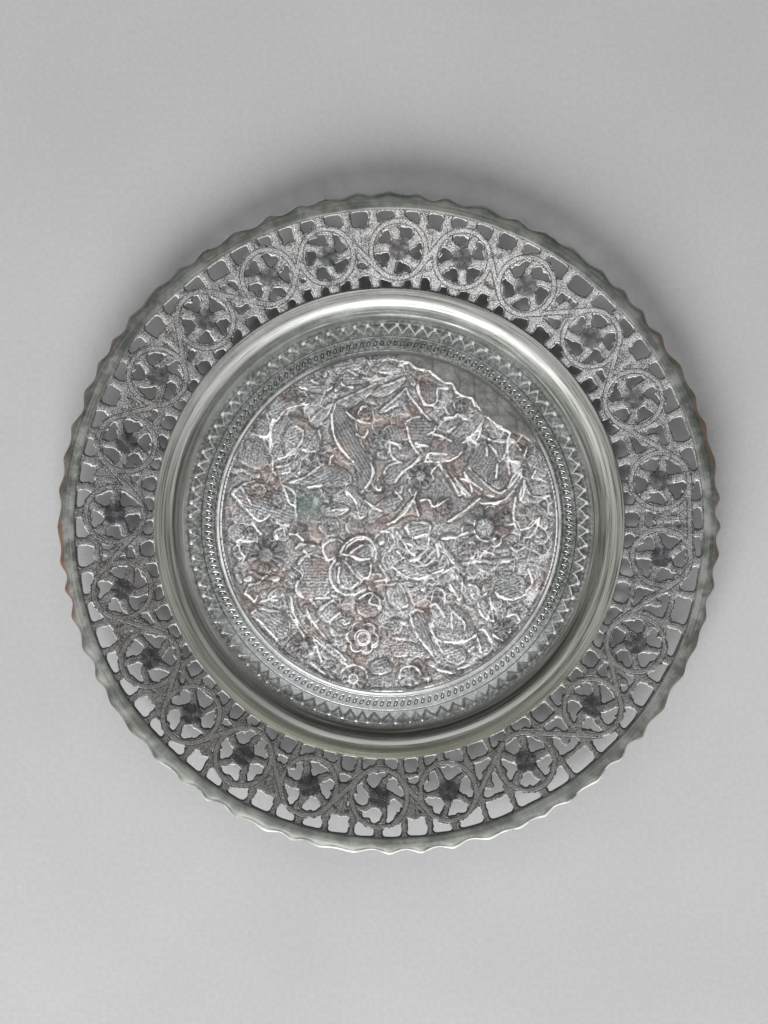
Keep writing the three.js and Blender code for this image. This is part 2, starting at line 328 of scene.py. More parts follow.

# Wall, crest and ledge, lighter and duller by turns round the tray: painted highlights, reflections and shade, with the
# finish also made duller on the left and right
crease = radius.off(CREASE_RADIUS).rise(3.4, 1.8) * scratches.rise(0.72, 0.42)
crease = crease * (0.6 - low_side * 0.1) * (1 - left_side * 0.8)
# Painted highlights on the crest: a broad pale band, strongest towards the top of the picture, and a thin bright line
# all round
crest_highlight_line = radius.off(CREST_RADIUS).rise(1.5, 0.4)
crest_highlight = radius.off(CREST_SHINE).rise(3.6, 0.6) * (high_side * 0.85 + 0.15) * (1 - low_side * 0.9)
crest_highlight = crest_highlight.maths("MAXIMUM", crest_highlight_line)
# Painted reflection and highlight: the floor's bottom side bluish white and the ledge lighter except on the bottom
# side; there the metal is made less metallic so the painted colour shows
lit_floor = low_side * radius.rise(101, 98)
lit_ledge = ledge * (1 - low_side)
sheen = (lit_floor + low_side * crest_highlight_line * 2.4).maths("MAXIMUM", lit_ledge * scratches.rise(0.35, 0.65) * 0.5)
# On the left the wall and ledge are made rougher and less metallic, with their light and shade painted in streaks: a
# dark ledge and a lighter wall; on the right a streaky painted tone
dull_and_shaded_left = left_side * raised * (1 - high_side)
left_shade_streaks = scratches.rise(0.3, 0.66)
painted_left_ledge = left_shade_streaks.blend((0.085, 0.085, 0.072), (0.23, 0.23, 0.205))
painted_left_wall = left_shade_streaks.blend((0.26, 0.26, 0.23), (0.55, 0.55, 0.51))
painted_right_tone = scratches.rise(0.34, 0.62).blend((0.1, 0.1, 0.08), (0.4, 0.4, 0.36))
# A painted dark line along the bend from wall into crest, on the left side only
left_shade_line = radius.off(LEFT_SHADE_LINE).rise(0.9, 0.3) * left_side * scratches.rise(0.7, 0.4)
# Dark in the incised lines, the punched rings, the crease and between the teeth; on the bottom side more painted shade
# along and between the teeth
sunk = incised + bead_ring + crease * 0.85 + wedge * stains.rise(0.4, 0.55)
sunk = (sunk + (arch * mottle.rise(0.25, 0.5) + wedge * 0.3) * low_side).maths("MINIMUM", 1)

ground = layered(mottle.rise(0.3, 0.75).blend((0.31, 0.325, 0.305), (0.58, 0.597, 0.585)), [
    (grain.rise(0.42, 0.62) * (border * 0.15 + 0.15), (0.8, 0.81, 0.79)),
    (grain.rise(0.5, 0.34) * (border * 0.2 + 0.2), (0.1, 0.105, 0.095)),
    (stains.rise(0.52, 0.72) * 0.6, (0.2, 0.215, 0.18)),
    (scratches.rise(0.5, 0.75) * 0.65, (0.72, 0.725, 0.7)),
    # Olive tone and dark streaks on the wall and ledge, partly painted light: weaker towards the top of the picture, so
    # it stays lighter under the painted highlight
    (raised * (0.52 - high_side * 0.25), (0.21, 0.212, 0.168)),
    (raised * scratches.rise(0.55, 0.4) * (0.8 - high_side * 0.4), (0.075, 0.08, 0.062)),
    # Painted highlight on the crest
    (crest_highlight * scratches.rise(0.3, 0.6) * 0.92, (0.88, 0.89, 0.875)),
    # Painted highlight on the ledge, except on the bottom side
    (lit_ledge * scratches.rise(0.3, 0.6) * (high_side * 0.2 + 0.22), (0.82, 0.815, 0.77)),
    # Painted bluish reflection on the floor's bottom side
    (lit_floor * 0.6, (0.87, 0.89, 0.91)),
    # Painted highlight on the right-hand ledge
    (ledge * right_side * scratches.rise(0.35, 0.6) * 0.4, (0.85, 0.84, 0.78)),
    # More light specks on the border's left and right sides: its grain, with painted light added there
    (border * (1 - low_side) * (1 - high_side) * grain.rise(0.36, 0.6) * 0.3, (0.85, 0.86, 0.84)),
    # Painted dark reflection on the ledge's bottom side
    (low_side * radius.rise(111.5, 112.6) * 0.72, (0.15, 0.147, 0.105)),
    # Painted shade on the wall's bottom side
    (low_side * radius.rise(102, 104) * radius.rise(108.9, 107.9) * 0.6, (0.13, 0.128, 0.095)),
    # Painted highlight along the crest on the bottom side, made nearly diffuse
    (low_side * crest_highlight_line * 0.8, (0.92, 0.935, 0.89)),
    # Painted light and shade on the left wall and ledge
    (dull_and_shaded_left * 0.75, radius.rise(111.5, 109).blend(painted_left_ledge, painted_left_wall)),
    # Painted dark line along the left bend
    (left_shade_line * 0.7, (0.07, 0.07, 0.062)),
    # Painted streaky tone on the right wall and ledge
    (raised * right_side * (0.6 - high_side * 0.3), painted_right_tone),
    # Painted highlights inside the tooth tips
    (tip_highlight * 0.6, (0.78, 0.77, 0.71)),
    # Dark sunk lines and crease, with painted shade along the teeth on the bottom side
    (sunk * 0.75, (0.055, 0.06, 0.052)),
])
# The rubbed zigzag is left off the bottom side, where its teeth carry painted shade, and made faint at the upper left
teeth = tooth_line * mottle.rise(0.2, 0.45) * (stains.rise(0.36, 0.6) * 0.75 + 0.25) * (1 - low_side)
teeth = teeth * (1 - (turns * 360).off(125).rise(45, 20) * 0.65)
rubbed = teeth + tip_dot * mottle.rise(0.3, 0.45) * (1 - low_side * 0.75) + bead_eye * 0.2
rubbed = rubbed.maths("MINIMUM", 1)
colour = (rubbed * 0.85).blend(ground, (0.86, 0.86, 0.84))
height = tooth_line * 0.08 + tip_dot * 0.15 - incised * 0.15 - bead_ring * 0.25 + bead_eye * 0.15
height = height + scratches * 0.2 + mottle * 0.04
roughness = 0.14 + mottle * 0.1 + scratches * 0.06 + crest_highlight * 0.12 + crease * 0.4
roughness = roughness + raised * scratches.rise(0.7, 0.3) * 0.22 + (dull_and_shaded_left + raised * right_side) * 0.14
metallic = 0.82 - rubbed * 0.6 - grain.rise(0.5, 0.66) * border * 0.25 - sheen * 0.3
metallic = metallic - raised * 0.18 - dull_and_shaded_left * 0.35 - raised * right_side * 0.1
dress(shader, colour, roughness, height, 0.75, metallic)
pan.data.materials.append(material)
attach(pan, "root")
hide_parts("pan")


# MEDALLION
# A thin disc of copper lying on the pan's floor, chased and tinned: birds, beasts, flowers and leaves stand grey
# and hatched with bright rubbed outlines, on a ground beaten down with a matting punch to pinkish copper.

MEDALLION_RADIUS = 85.6
MEDALLION_TOP = SHEET + 1.0
MEDALLION_GRID = 342
MARGIN_RADIUS = 82.6
MARGIN_LINE = 84.95
SMALL_LEAVES = 500

disc = bmesh.new()
bmesh.ops.create_grid(disc, x_segments=MEDALLION_GRID, y_segments=MEDALLION_GRID, size=0.0858)
beyond = [vert for vert in disc.verts if vert.co.xy.length > MEDALLION_RADIUS / 1000 + 0.0001]
bmesh.ops.delete(disc, geom=beyond, context="VERTS")
bmesh.ops.delete(disc, geom=[vert for vert in disc.verts if len(vert.link_faces) < 2], context="VERTS")
for vert in disc.verts:
    if vert.is_boundary:
        vert.co.xy = vert.co.xy.normalized() * MEDALLION_RADIUS / 1000
brim = [edge for edge in disc.edges if edge.is_boundary]
wall = bmesh.ops.extrude_edge_only(disc, edges=brim)["geom"]
foot = [vert for vert in wall if isinstance(vert, bmesh.types.BMVert)]
bmesh.ops.translate(disc, verts=foot, vec=(0, 0, -0.00099))
bmesh.ops.contextual_create(disc, geom=[edge for edge in wall if isinstance(edge, bmesh.types.BMEdge)])
bmesh.ops.recalc_face_normals(disc, faces=disc.faces[:])
medallion = laid_down("chased_medallion", disc, 60)
medallion_points = points_of(medallion.data)
on_face = medallion_points[:, 2] > -0.5
spots = medallion_points[on_face, :2].copy()
from_middle = np.hypot(spots[:, 0], spots[:, 1])

chased = {name: np.zeros(len(spots)) for name in ("rise", "figure", "line", "hatch", "tone", "sunk", "bare")}
unsteady = 0.28 * np.sin(spots[:, 0] * 1.3 + 2 * np.sin(spots[:, 1] * 0.7)) * np.sin(spots[:, 1] * 1.1 + 1)
pressure = np.sin(spots[:, 0] * 0.43 + 2.2 * np.sin(spots[:, 1] * 0.29)) * np.sin(spots[:, 1] * 0.37 + 2)
pressure = 0.5 + 0.5 * pressure
everywhere = slice(None)


def drawn(points, closed, per=6):
    """A smooth line through a few points."""
    knots = np.array(points, float)
    ring = np.vstack([knots[-1:], knots, knots[:2]] if closed else [knots[:1], knots, knots[-1:]])
    t = np.linspace(0, 1, per, endpoint=False)[:, None]
    spans = []
    for a, b, c, d in zip(ring, ring[1:], ring[2:], ring[3:]):
        spans.append(0.5 * (2 * b + (c - a) * t + (2 * a - 5 * b + 4 * c - d) * t ** 2
                            + (3 * b - a - 3 * c + d) * t ** 3))
    return np.vstack(spans if closed else spans + [knots[-1:]])


def off_line(where, line, closed):
    """Distance from a drawn line, below zero inside it where it is closed."""
    start = line if closed else line[:-1]
    end = np.roll(line, -1, 0) if closed else line[1:]
    way = end - start
    rel = where[:, None] - start
    along = np.clip((rel * way).sum(2) / np.maximum((way * way).sum(1), 1e-9), 0, 1)
    off = np.sqrt(((rel - along[..., None] * way) ** 2).sum(2)).min(1)
    if closed:
        above = (start[:, 1] > where[:, 1:]) != (end[:, 1] > where[:, 1:])
        slope = way[:, 0] / np.where(way[:, 1] == 0, 1e-9, way[:, 1])
        cross = where[:, :1] < slope * (where[:, 1:] - start[:, 1]) + start[:, 0]
        off = np.where((above & cross).sum(1) % 2 == 1, -off, off)
    return off


def deepen(layer, near, amount):
    """Brings a layer up to an amount wherever it is less."""
    chased[layer][near] = np.maximum(chased[layer][near], amount)


def strike(near, off, height, hatch, tone):
    """Raises one form out of the ground: its body, its rubbed outline and the ground sunk round it."""
    off = off + unsteady[near]
    inside = ramp(-off, -0.3, 0.35)
    outline = np.exp(-(off / 0.44) ** 2) * (0.1 + 0.85 * pressure[near] ** 1.4)
    keep = 1 - inside
    swell = 0.22 + 1.35 * height * (1 - np.exp(np.minimum(off, 0) / 1.8))
    chased["rise"][near] = chased["rise"][near] * keep + inside * swell
    deepen("figure", near, inside)
    chased["line"][near] = np.maximum(chased["line"][near] * keep, outline)
    chased["sunk"][near] = np.maximum(chased["sunk"][near] * keep, np.exp(-((off - 1.0) / 0.55) ** 2))
    chased["hatch"][near] = np.where(inside > 0.4, hatch, chased["hatch"][near])
    chased["tone"][near] = np.where(inside > 0.4, tone, chased["tone"][near])


def chase(points, degrees=0, tone=0.5, height=0.4, width=0):
    """One closed form, or with a width an open stem, hatched at an angle or along the stem."""
    line = drawn(points, not width)
    room = 2.5 + width
    near = np.flatnonzero(((spots > line.min(0) - room) & (spots < line.max(0) + room)).all(1))
    off = off_line(spots[near], line, not width) - width / 2
    slant = math.radians(degrees)
    hatch = spots[near] @ np.array([-math.sin(slant), math.cos(slant)]) if not width else off + 50
    strike(near, off, height, hatch, tone)


def bloom(x, y, size, petals, turn=0.0, tone=0.3):
    """A flower: petals round a ringed eye."""
    near = np.flatnonzero(np.hypot(spots[:, 0] - x, spots[:, 1] - y) < size + 2.5)
    rel = spots[near] - (x, y)
    rho = np.hypot(rel[:, 0], rel[:, 1])
    phi = np.arctan2(rel[:, 1], rel[:, 0]) + turn
    scallop = np.abs(np.cos(petals * phi / 2))
    off = rho - size * (0.78 + 0.22 * scallop ** 0.7)
    strike(near, off, 0.3, phi * petals * 0.35, tone)
    gap = np.exp(-((1 - np.abs(np.sin(petals * phi / 2))) * rho / 1.1) ** 2)
    gap *= ramp(rho, size * 0.36, size * 0.5) * (off < 0)
    deepen("sunk", near, gap)
    chased["rise"][near] -= gap * 0.25
    eye = np.abs(rho - size * 0.36)
    deepen("line", near, np.exp(-(eye / 0.45) ** 2) * (0.85 if tone > 0.5 else 0.2))
    if tone < 0.3:
        deepen("sunk", near, 0.9 * np.exp(-((rho - size * 0.45) / (size * 0.14)) ** 2))
        chased["tone"][near] = np.where(rho < size * 0.36, 0.8, chased["tone"][near])
    chased["rise"][near] += 0.25 * np.exp(-(rho / (size * 0.3)) ** 2)


# The plain scalloped edge that frames the picture at upper right
chase([(4, 83), (10, 81.3), (12.5, 79), (17, 77.8), (21, 77.2), (23.5, 74.5), (27, 72), (31.5, 70.8), (33.5, 67.2),
       (37.5, 64.7), (42, 63.2), (44.5, 59.5), (49.5, 54.3), (54, 50.6), (60.5, 46.5), (66, 45.5), (74.5, 40.3),
       (78, 42), (66, 58), (50, 72), (30, 83), (12, 88)], 0, 0.75, 0.15)
chased["bare"] = chased["figure"].copy()
# Leaves, buds and petals: hatching angle, tone, outline
for degrees, tone, outline in [
    (60, 0.4, [(-56, 33), (-59, 41), (-59, 49), (-56, 53), (-50, 54), (-43, 52.5), (-37, 49.5), (-34.6, 44), (-36, 39),
               (-42, 37.2), (-47, 36)]),
    (20, 0.6, [(-51.5, 34.8), (-53.2, 40), (-52.3, 45), (-49, 49), (-45, 48), (-43.2, 44.5), (-45, 40), (-48.5, 37)]),
    (30, 0.45, [(-57, 52), (-52, 57.7), (-46, 59.5), (-40, 61), (-43, 66), (-51, 68.5), (-57, 63), (-60.5, 57.5)]),
    (10, 0.5, [(-28, 80), (-20, 83.3), (-12, 84), (-14, 79), (-20, 77.5), (-25, 76)]),
    (0, 0.5, [(-21, 77), (-15, 74.5), (-9.5, 73), (-14, 71.5), (-22, 70.5), (-27, 67), (-25, 73)]),
    (5, 0.35, [(-41, 74.3), (-36, 71.3), (-29, 69.5), (-33, 66.5), (-40, 67.5), (-47, 70)]),
    (45, 0.5, [(-67, 49), (-66.5, 45.5), (-63.5, 43.8), (-60.5, 45.5), (-60, 49.5), (-62.5, 53), (-65.5, 52.5)]),
    (80, 0.35, [(-76, 37), (-73, 41), (-67, 41.5), (-62, 40), (-61, 33), (-64, 28), (-70, 29), (-75, 32)]),
    (40, 0.6, [(-56, 29), (-50, 30.5), (-47, 33.5), (-45, 36.5), (-43.5, 34), (-46.5, 30), (-51, 26), (-56.5, 25)]),
    (25, 0.35, [(-50.5, 21), (-43, 23.5), (-37.5, 27.5), (-32.5, 30.5), (-26, 28.5), (-20.5, 25), (-20, 20.5),
                (-28, 19), (-34, 19.3), (-40, 18), (-43, 20)]),
    (70, 0.5, [(-21.5, 16), (-17, 12), (-14, 5), (-12, 3.5), (-11.5, 9), (-14, 14.5), (-19, 18.5)]),
    (15, 0.5, [(-34, 8), (-27, 9.5), (-20.5, 7.5), (-25, 4.5), (-31, 4)]),
    (90, 0.45, [(-33.5, 2), (-28.5, 3), (-25.5, -2), (-27, -6), (-31.5, -5.5), (-35, -2)]),
    (80, 0.4, [(-21.5, 1), (-16.5, 1.5), (-13.5, -3), (-16.5, -5), (-20.5, -4)]),
    (20, 0.6, [(-9.5, 0.5), (-4, 4.5), (2, 7), (6, 12.5), (1, 13.5), (-5, 10), (-9.5, 6)]),
    (25, 0.6, [(-9, 66), (-4, 69), (2, 71.5), (8, 73.5), (5, 69), (1, 66.5), (-4, 64.5)]),
    (35, 0.7, [(-4.5, 57), (1, 61.5), (5, 65), (8.7, 68), (8, 63.5), (9, 58.5), (4, 60), (-1, 57)]),
    (0, 0.5, [(-9, 78), (-3, 80.5), (3, 80), (7, 77.5), (0, 76)]),
    (90, 0.3, [(14.5, 70), (15.5, 64.5), (18.5, 60.3), (22.5, 60), (24.8, 63.5), (25, 68.5), (20, 70.5)]),
    (110, 0.4, [(0.5, 36), (1, 41), (5, 40), (8, 44), (6.5, 47.5), (-1, 49), (-3, 44), (-1.5, 39)]),
    (40, 0.65, [(-2, 25), (0, 29), (8, 31), (14, 33.5), (18, 36), (14, 31), (8, 27), (3, 21), (-1, 21)]),
    (60, 0.35, [(41, 30), (43, 36), (46, 40.5), (50, 40.5), (53.5, 36), (57, 31.5), (59.5, 31), (60.5, 24), (57, 18.5),
                (53, 19), (46, 25)]),
    (35, 0.75, [(40, 28.7), (45, 24.5), (50.5, 19), (55.5, 15.8), (60, 18.5), (63, 23.5), (67.3, 28), (66, 21.5),
                (61.5, 16), (55, 13.2), (47.5, 15.5), (42, 20.5), (38.5, 25)]),
    (75, 0.5, [(61, 32), (62.5, 38), (64, 41), (67, 38), (69.5, 38.5), (68.5, 33.5), (66, 31)]),
    (100, 0.3, [(50.5, 40), (53.5, 42), (59.5, 41.5), (59, 36), (56.5, 31.8), (53.5, 36)]),
    (20, 0.65, [(30, 1), (34, 4), (39, 7), (45, 13.2), (51, 11.5), (57, 12.5), (63.5, 16.5), (60, 11.5), (54, 9.8),
                (47, 10), (42, 8.5), (37, 4)]),
    (100, 0.7, [(66.5, 12), (68.5, 20.5), (70.5, 17), (73, 13), (80, 14), (75, 11)]),
    (50, 0.45, [(71, 33), (74.5, 38.5), (77.5, 33), (80, 26), (76, 22.5), (73, 25)]),
    (80, 0.5, [(70, 8), (76, 8.5), (80, 4), (79, -3), (74, 1), (71, 3)]),
    (10, 0.6, [(9, -0.5), (20, 0.3), (19.5, -5.5), (13, -7), (10, -5)]),
    (30, 0.75, [(12, 12.3), (14.5, 9), (15, 4.5), (10, 5), (2, 0.5), (7, 6)]),
    (15, 0.55, [(8, -17.5), (12, -21), (19, -22), (25, -20.5), (28, -16), (30, -22), (24, -27), (14, -28), (4, -25.5)]),
    (120, 0.85, [(30, -23), (33.5, -21.5), (35, -24), (37.2, -28), (33, -27)]),
    (100, 0.4, [(0, -31), (5, -31), (8, -36), (9.5, -41), (4, -43), (0, -38)]),
    (115, 0.3, [(11, -47), (14, -44), (18, -44), (20, -50), (22, -58), (26, -66), (20, -63), (14, -56), (11, -51)]),
    (120, 0.6, [(31, -29), (35, -31), (37, -39.5), (33, -35), (30, -32)]),
    (130, 0.45, [(40, -31), (44, -30), (46, -36), (50, -42), (53, -49), (48, -47), (44, -41)]),
    (20, 0.35, [(52, -27), (58, -25), (66, -26), (70, -31), (68, -36), (62, -38), (55, -36)]),
    (100, 0.5, [(53, -39), (58, -40), (60.5, -45), (57, -49), (54, -45)]),
    (110, 0.5, [(71, -21), (76, -21.5), (78, -27), (74.5, -33), (72, -27)]),
    (50, 0.5, [(61, -43), (67, -41.5), (70, -45), (66, -50), (61.5, -48)]),
    (70, 0.35, [(44, -57.5), (49, -58), (52, -62), (49, -66), (45, -63)]),
    (20, 0.5, [(28, -63), (34, -62.5), (39, -66), (36, -71), (30, -69)]),
    (0, 0.45, [(-46, -20), (-42, -16), (-36, -16.5), (-31, -20.5), (-29.5, -27), (-30, -34), (-36, -37.5), (-43, -37.5),
               (-46, -31), (-43.5, -26), (-47.5, -22.5)]),
    (20, 0.6, [(-46, -11), (-42, -9.8), (-36, -11), (-34.5, -14.5), (-40, -16)]),
    (80, 0.5, [(-33.5, -10), (-30, -7.8), (-25, -8.5), (-25.5, -13), (-28, -17.5), (-31.5, -18)]),
    (30, 0.35, [(-20.5, -15), (-16, -11.5), (-11, -10.3), (-8.3, -14), (-10, -17.8), (-15, -18.6)]),
    (60, 0.4, [(-24, -18.5), (-20, -21), (-16.5, -25.5), (-13.5, -28.7), (-17, -32), (-22, -32), (-25.3, -28),
               (-25.5, -22)]),
    (20, 0.3, [(-9.5, -19), (-8.7, -23), (-10, -27), (-13, -27.5), (-16.5, -23.5), (-19.5, -19.5)]),
    (100, 0.5, [(-80, -2), (-75, -1), (-73, -6), (-77, -9), (-81, -7)]),
    (60, 0.55, [(-58, -3.5), (-53, -1.5), (-51, -6.5), (-54, -8.5), (-57.5, -7)]),
    (30, 0.5, [(-72.5, -35), (-70, -31.5), (-65, -29), (-61, -27), (-61, -31.5), (-66, -33.5), (-68.5, -38.5)]),
    (110, 0.5, [(-61, -38), (-57.5, -33.5), (-52, -33.5), (-49.5, -38), (-49, -44), (-52, -44), (-53, -38.5),
                (-57, -37)]),
    (150, 0.35, [(-70, -46), (-67, -42), (-61, -43.5), (-55, -45), (-50.5, -50), (-51, -56), (-57, -58), (-63, -54)]),
    (50, 0.5, [(-42, -41), (-38, -43), (-35, -47.5), (-38, -50), (-41.5, -46.5)]),
    (45, 0.6, [(-36, -45), (-31, -40), (-27, -42.5), (-24, -46), (-29, -49), (-33, -49)]),
    (20, 0.4, [(-16, -42), (-12, -37.5), (-6, -36.5), (-3.5, -41), (-7, -46), (-13, -46.5)]),
    (40, 0.5, [(-50, -60), (-45, -57), (-42.5, -58.5), (-47, -63), (-52, -65)]),
    (0, 0.5, [(2, -62), (10, -61), (18, -64), (20, -68), (11, -66.5), (4, -67)]),
    (20, 0.5, [(-7, -70), (-1, -69), (1, -74), (-5, -76), (-9, -74)]),
]:
    chase(outline, degrees, tone)
# Birds and beasts
for degrees, tone, outline in [
    (120, 0.25, [(-25, 62), (-20, 59), (-17, 53), (-16, 46), (-13, 39), (-9, 33), (-7.5, 27), (-9.5, 20.5), (-14, 15),
                 (-15, 22), (-16.5, 29), (-21, 34), (-26, 40), (-28.2, 47), (-28.5, 54), (-27, 60)]),
    (30, 0.8, [(-25.5, 61.5), (-16, 66), (-6.5, 70.7), (-10, 65.5), (-13.5, 63), (-20, 58.5), (-23, 59)]),
    (50, 0.6, [(-29.5, 60.2), (-35, 56.5), (-39.7, 51.5), (-36, 48.5), (-34, 52), (-31, 55)]),
    (160, 0.4, [(-79, 15), (-74.5, 19.3), (-68, 21.3), (-62, 20), (-57, 15.5), (-52.5, 19), (-48, 15), (-47, 9),
                (-49, 3), (-54, -1), (-60, 4.5), (-64.5, 1.2), (-69, 4), (-74, 9)]),
    (45, 0.55, [(21, 43), (27, 42.5), (31, 46), (36, 49.5), (43, 54.5), (48.5, 56.5), (47, 51), (45, 46.5), (40, 43.5),
                (38, 39), (36, 35), (31, 32), (25, 31.5), (20, 33), (19, 37.5), (22, 40)]),
    (0, 0.3, [(9.5, 49), (11, 53), (15.5, 54.5), (20, 52.5), (23.5, 49.5), (22.5, 45.5), (19, 40), (13, 39),
              (10.5, 43)]),
    (70, 0.45, [(22, -50), (24, -56), (30, -59.5), (37, -59.5), (44, -56), (41, -50), (38, -44), (32, -41), (28, -41),
                (25, -36), (27, -33), (24, -33), (22, -38), (21, -44)]),
]:
    chase(outline, degrees, tone, 0.55)
# Stems and bands: width and line
for width, line in [
    (2.2, [(-24.5, -15.5), (-20.5, -9.5), (-14, -6.8), (-8.5, -8.5), (-6.3, -14.5), (-6.8, -20.5), (-4.5, -25),
           (-1, -28)]),
    (2.2, [(-27, -19), (-28.3, -24), (-27.5, -30), (-23.5, -34.3), (-18, -35), (-13, -32.5)]),
    (3.6, [(-49.5, -36), (-47.5, -44), (-42.5, -51.5), (-35, -58.5), (-27, -65), (-20, -70.5)]),
    (1.6, [(26, 30), (30, 24.5), (35.5, 15)]), (1.6, [(30.5, 29), (34, 22), (39.5, 14)]),
    (1.4, [(40, 22.5), (43, 18), (46, 15.5)]), (1.5, [(8, -17), (12, -18.5), (16, -16.5), (20, -12.5)]),
    (1.8, [(5, -13.5), (7.5, -9), (12, -10.5), (13, -14)]), (2.0, [(26, -10), (29, -14), (33, -19), (37.5, -24.5)]),
    (1.8, [(20.5, -7), (24, -9), (25, -14), (23, -18.5)]), (1.4, [(48, -53), (50.5, -56), (53.5, -60.5)]),
    (1.4, [(20, -70), (27, -74), (36, -75)]), (1.4, [(-38, -71), (-33, -75), (-28, -78)]),
    (1.3, [(28, 53.5), (33, 54), (36, 55.5), (40, 53)]), (1.3, [(-79, 26), (-74, 27.5), (-69, 24.5), (-66, 24)]),
    (1.3, [(36, -8), (31, -6), (27, -7.5)]), (1.4, [(55, -14), (62, -12), (68, -8), (73, -2)]),
    (1.3, [(38, -20), (46, -18.5), (54, -19.5), (62, -18)]), (1.3, [(60, -52), (63, -49), (64.5, -46)]),
    (1.3, [(-70, -24), (-64, -27), (-56, -28)]), (1.3, [(-30, -52), (-27, -56), (-21, -55)]),
    (1.3, [(8, -50), (3, -49), (0, -52), (2, -57), (8, -58)]), (1.3, [(-74, -18), (-77, -23), (-75, -29)]),
]:
    chase(line, 0, 0.65, 0.35, width)
# Flowers: place, size, petals, turn and tone
for x, y, size, petals, turn, tone in [
    (-13, -58, 8, 6, 0.3, 0.7), (-62, -16, 9, 13, 0, 0.1), (-43, -61.5, 6, 9, 0, 0.2), (-5, 43, 5, 6, 0.2, 0.35),
    (-36, 75.5, 4.2, 7, 0, 0.2), (-44.5, 63.5, 3.2, 6, 0, 0.3), (-50.5, 65, 2.6, 6, 0, 0.3), (-37, 33, 4.4, 8, 0, 0.25),
    (-18, -78.5, 6.2, 9, 0.1, 0.6), (10.5, -76.5, 6.2, 8, 0, 0.5), (48.5, -2, 11.5, 9, 0.2, 0.25),
    (40, -13.5, 4.6, 7, 0, 0.3), (57, -54, 4.6, 8, 0, 0.3), (-66, 16.5, 3.6, 7, 0, 0.5), (-75, -14, 3.8, 7, 0, 0.35),
    (16, 24, 6.5, 8, 0.2, 0.15),
    (-12, 56, 3.4, 6, 0, 0.45), (60, 3, 4.2, 7, 0, 0.2), (36, 60, 3.2, 6, 0, 0.3), (-57, 11, 3, 6, 0, 0.4),
    (3, -52.5, 3.4, 7, 0, 0.5), (66, -14, 3.6, 7, 0, 0.35), (-29, -2, 2.4, 6, 0, 0.5), (28, 9, 3.6, 7, 0, 0.25),
    (13, 17, 2.6, 6, 0, 0.2), (-70, -5, 2.6, 6, 0, 0.4), (-22, -48, 3, 7, 0, 0.5), (51, -70, 2.6, 6, 0, 0.4),
]:
    bloom(x, y, size, petals, turn, tone)
# Small leaves punched wherever the ground was left open
scatter = np.random.default_rng(11)
for _ in range(SMALL_LEAVES):
    x, y = scatter.uniform(-82, 82, 2)
    lean, size = scatter.uniform(0, 2 * math.pi), scatter.uniform(1.5, 2.7)
    if math.hypot(x, y) > 81 - size:
        continue
    around = np.hypot(spots[:, 0] - x, spots[:, 1] - y)
    if (chased["figure"][around < size * 0.9 + 0.9] > 0.3).any():
        continue
    near = np.flatnonzero(around < size + 2.5)
    c, s = math.cos(lean), math.sin(lean)
    rel = (spots[near] - (x, y)) @ np.array([[c, -s], [s, c]])
    width = size * 0.5 * (1 - 0.45 * rel[:, 0] / size)
    off = (np.hypot(rel[:, 0] / size, rel[:, 1] / np.maximum(width, 0.3)) - 1) * size * 0.55
    strike(near, off, 0.25, rel[:, 1], scatter.uniform(0.3, 0.8))

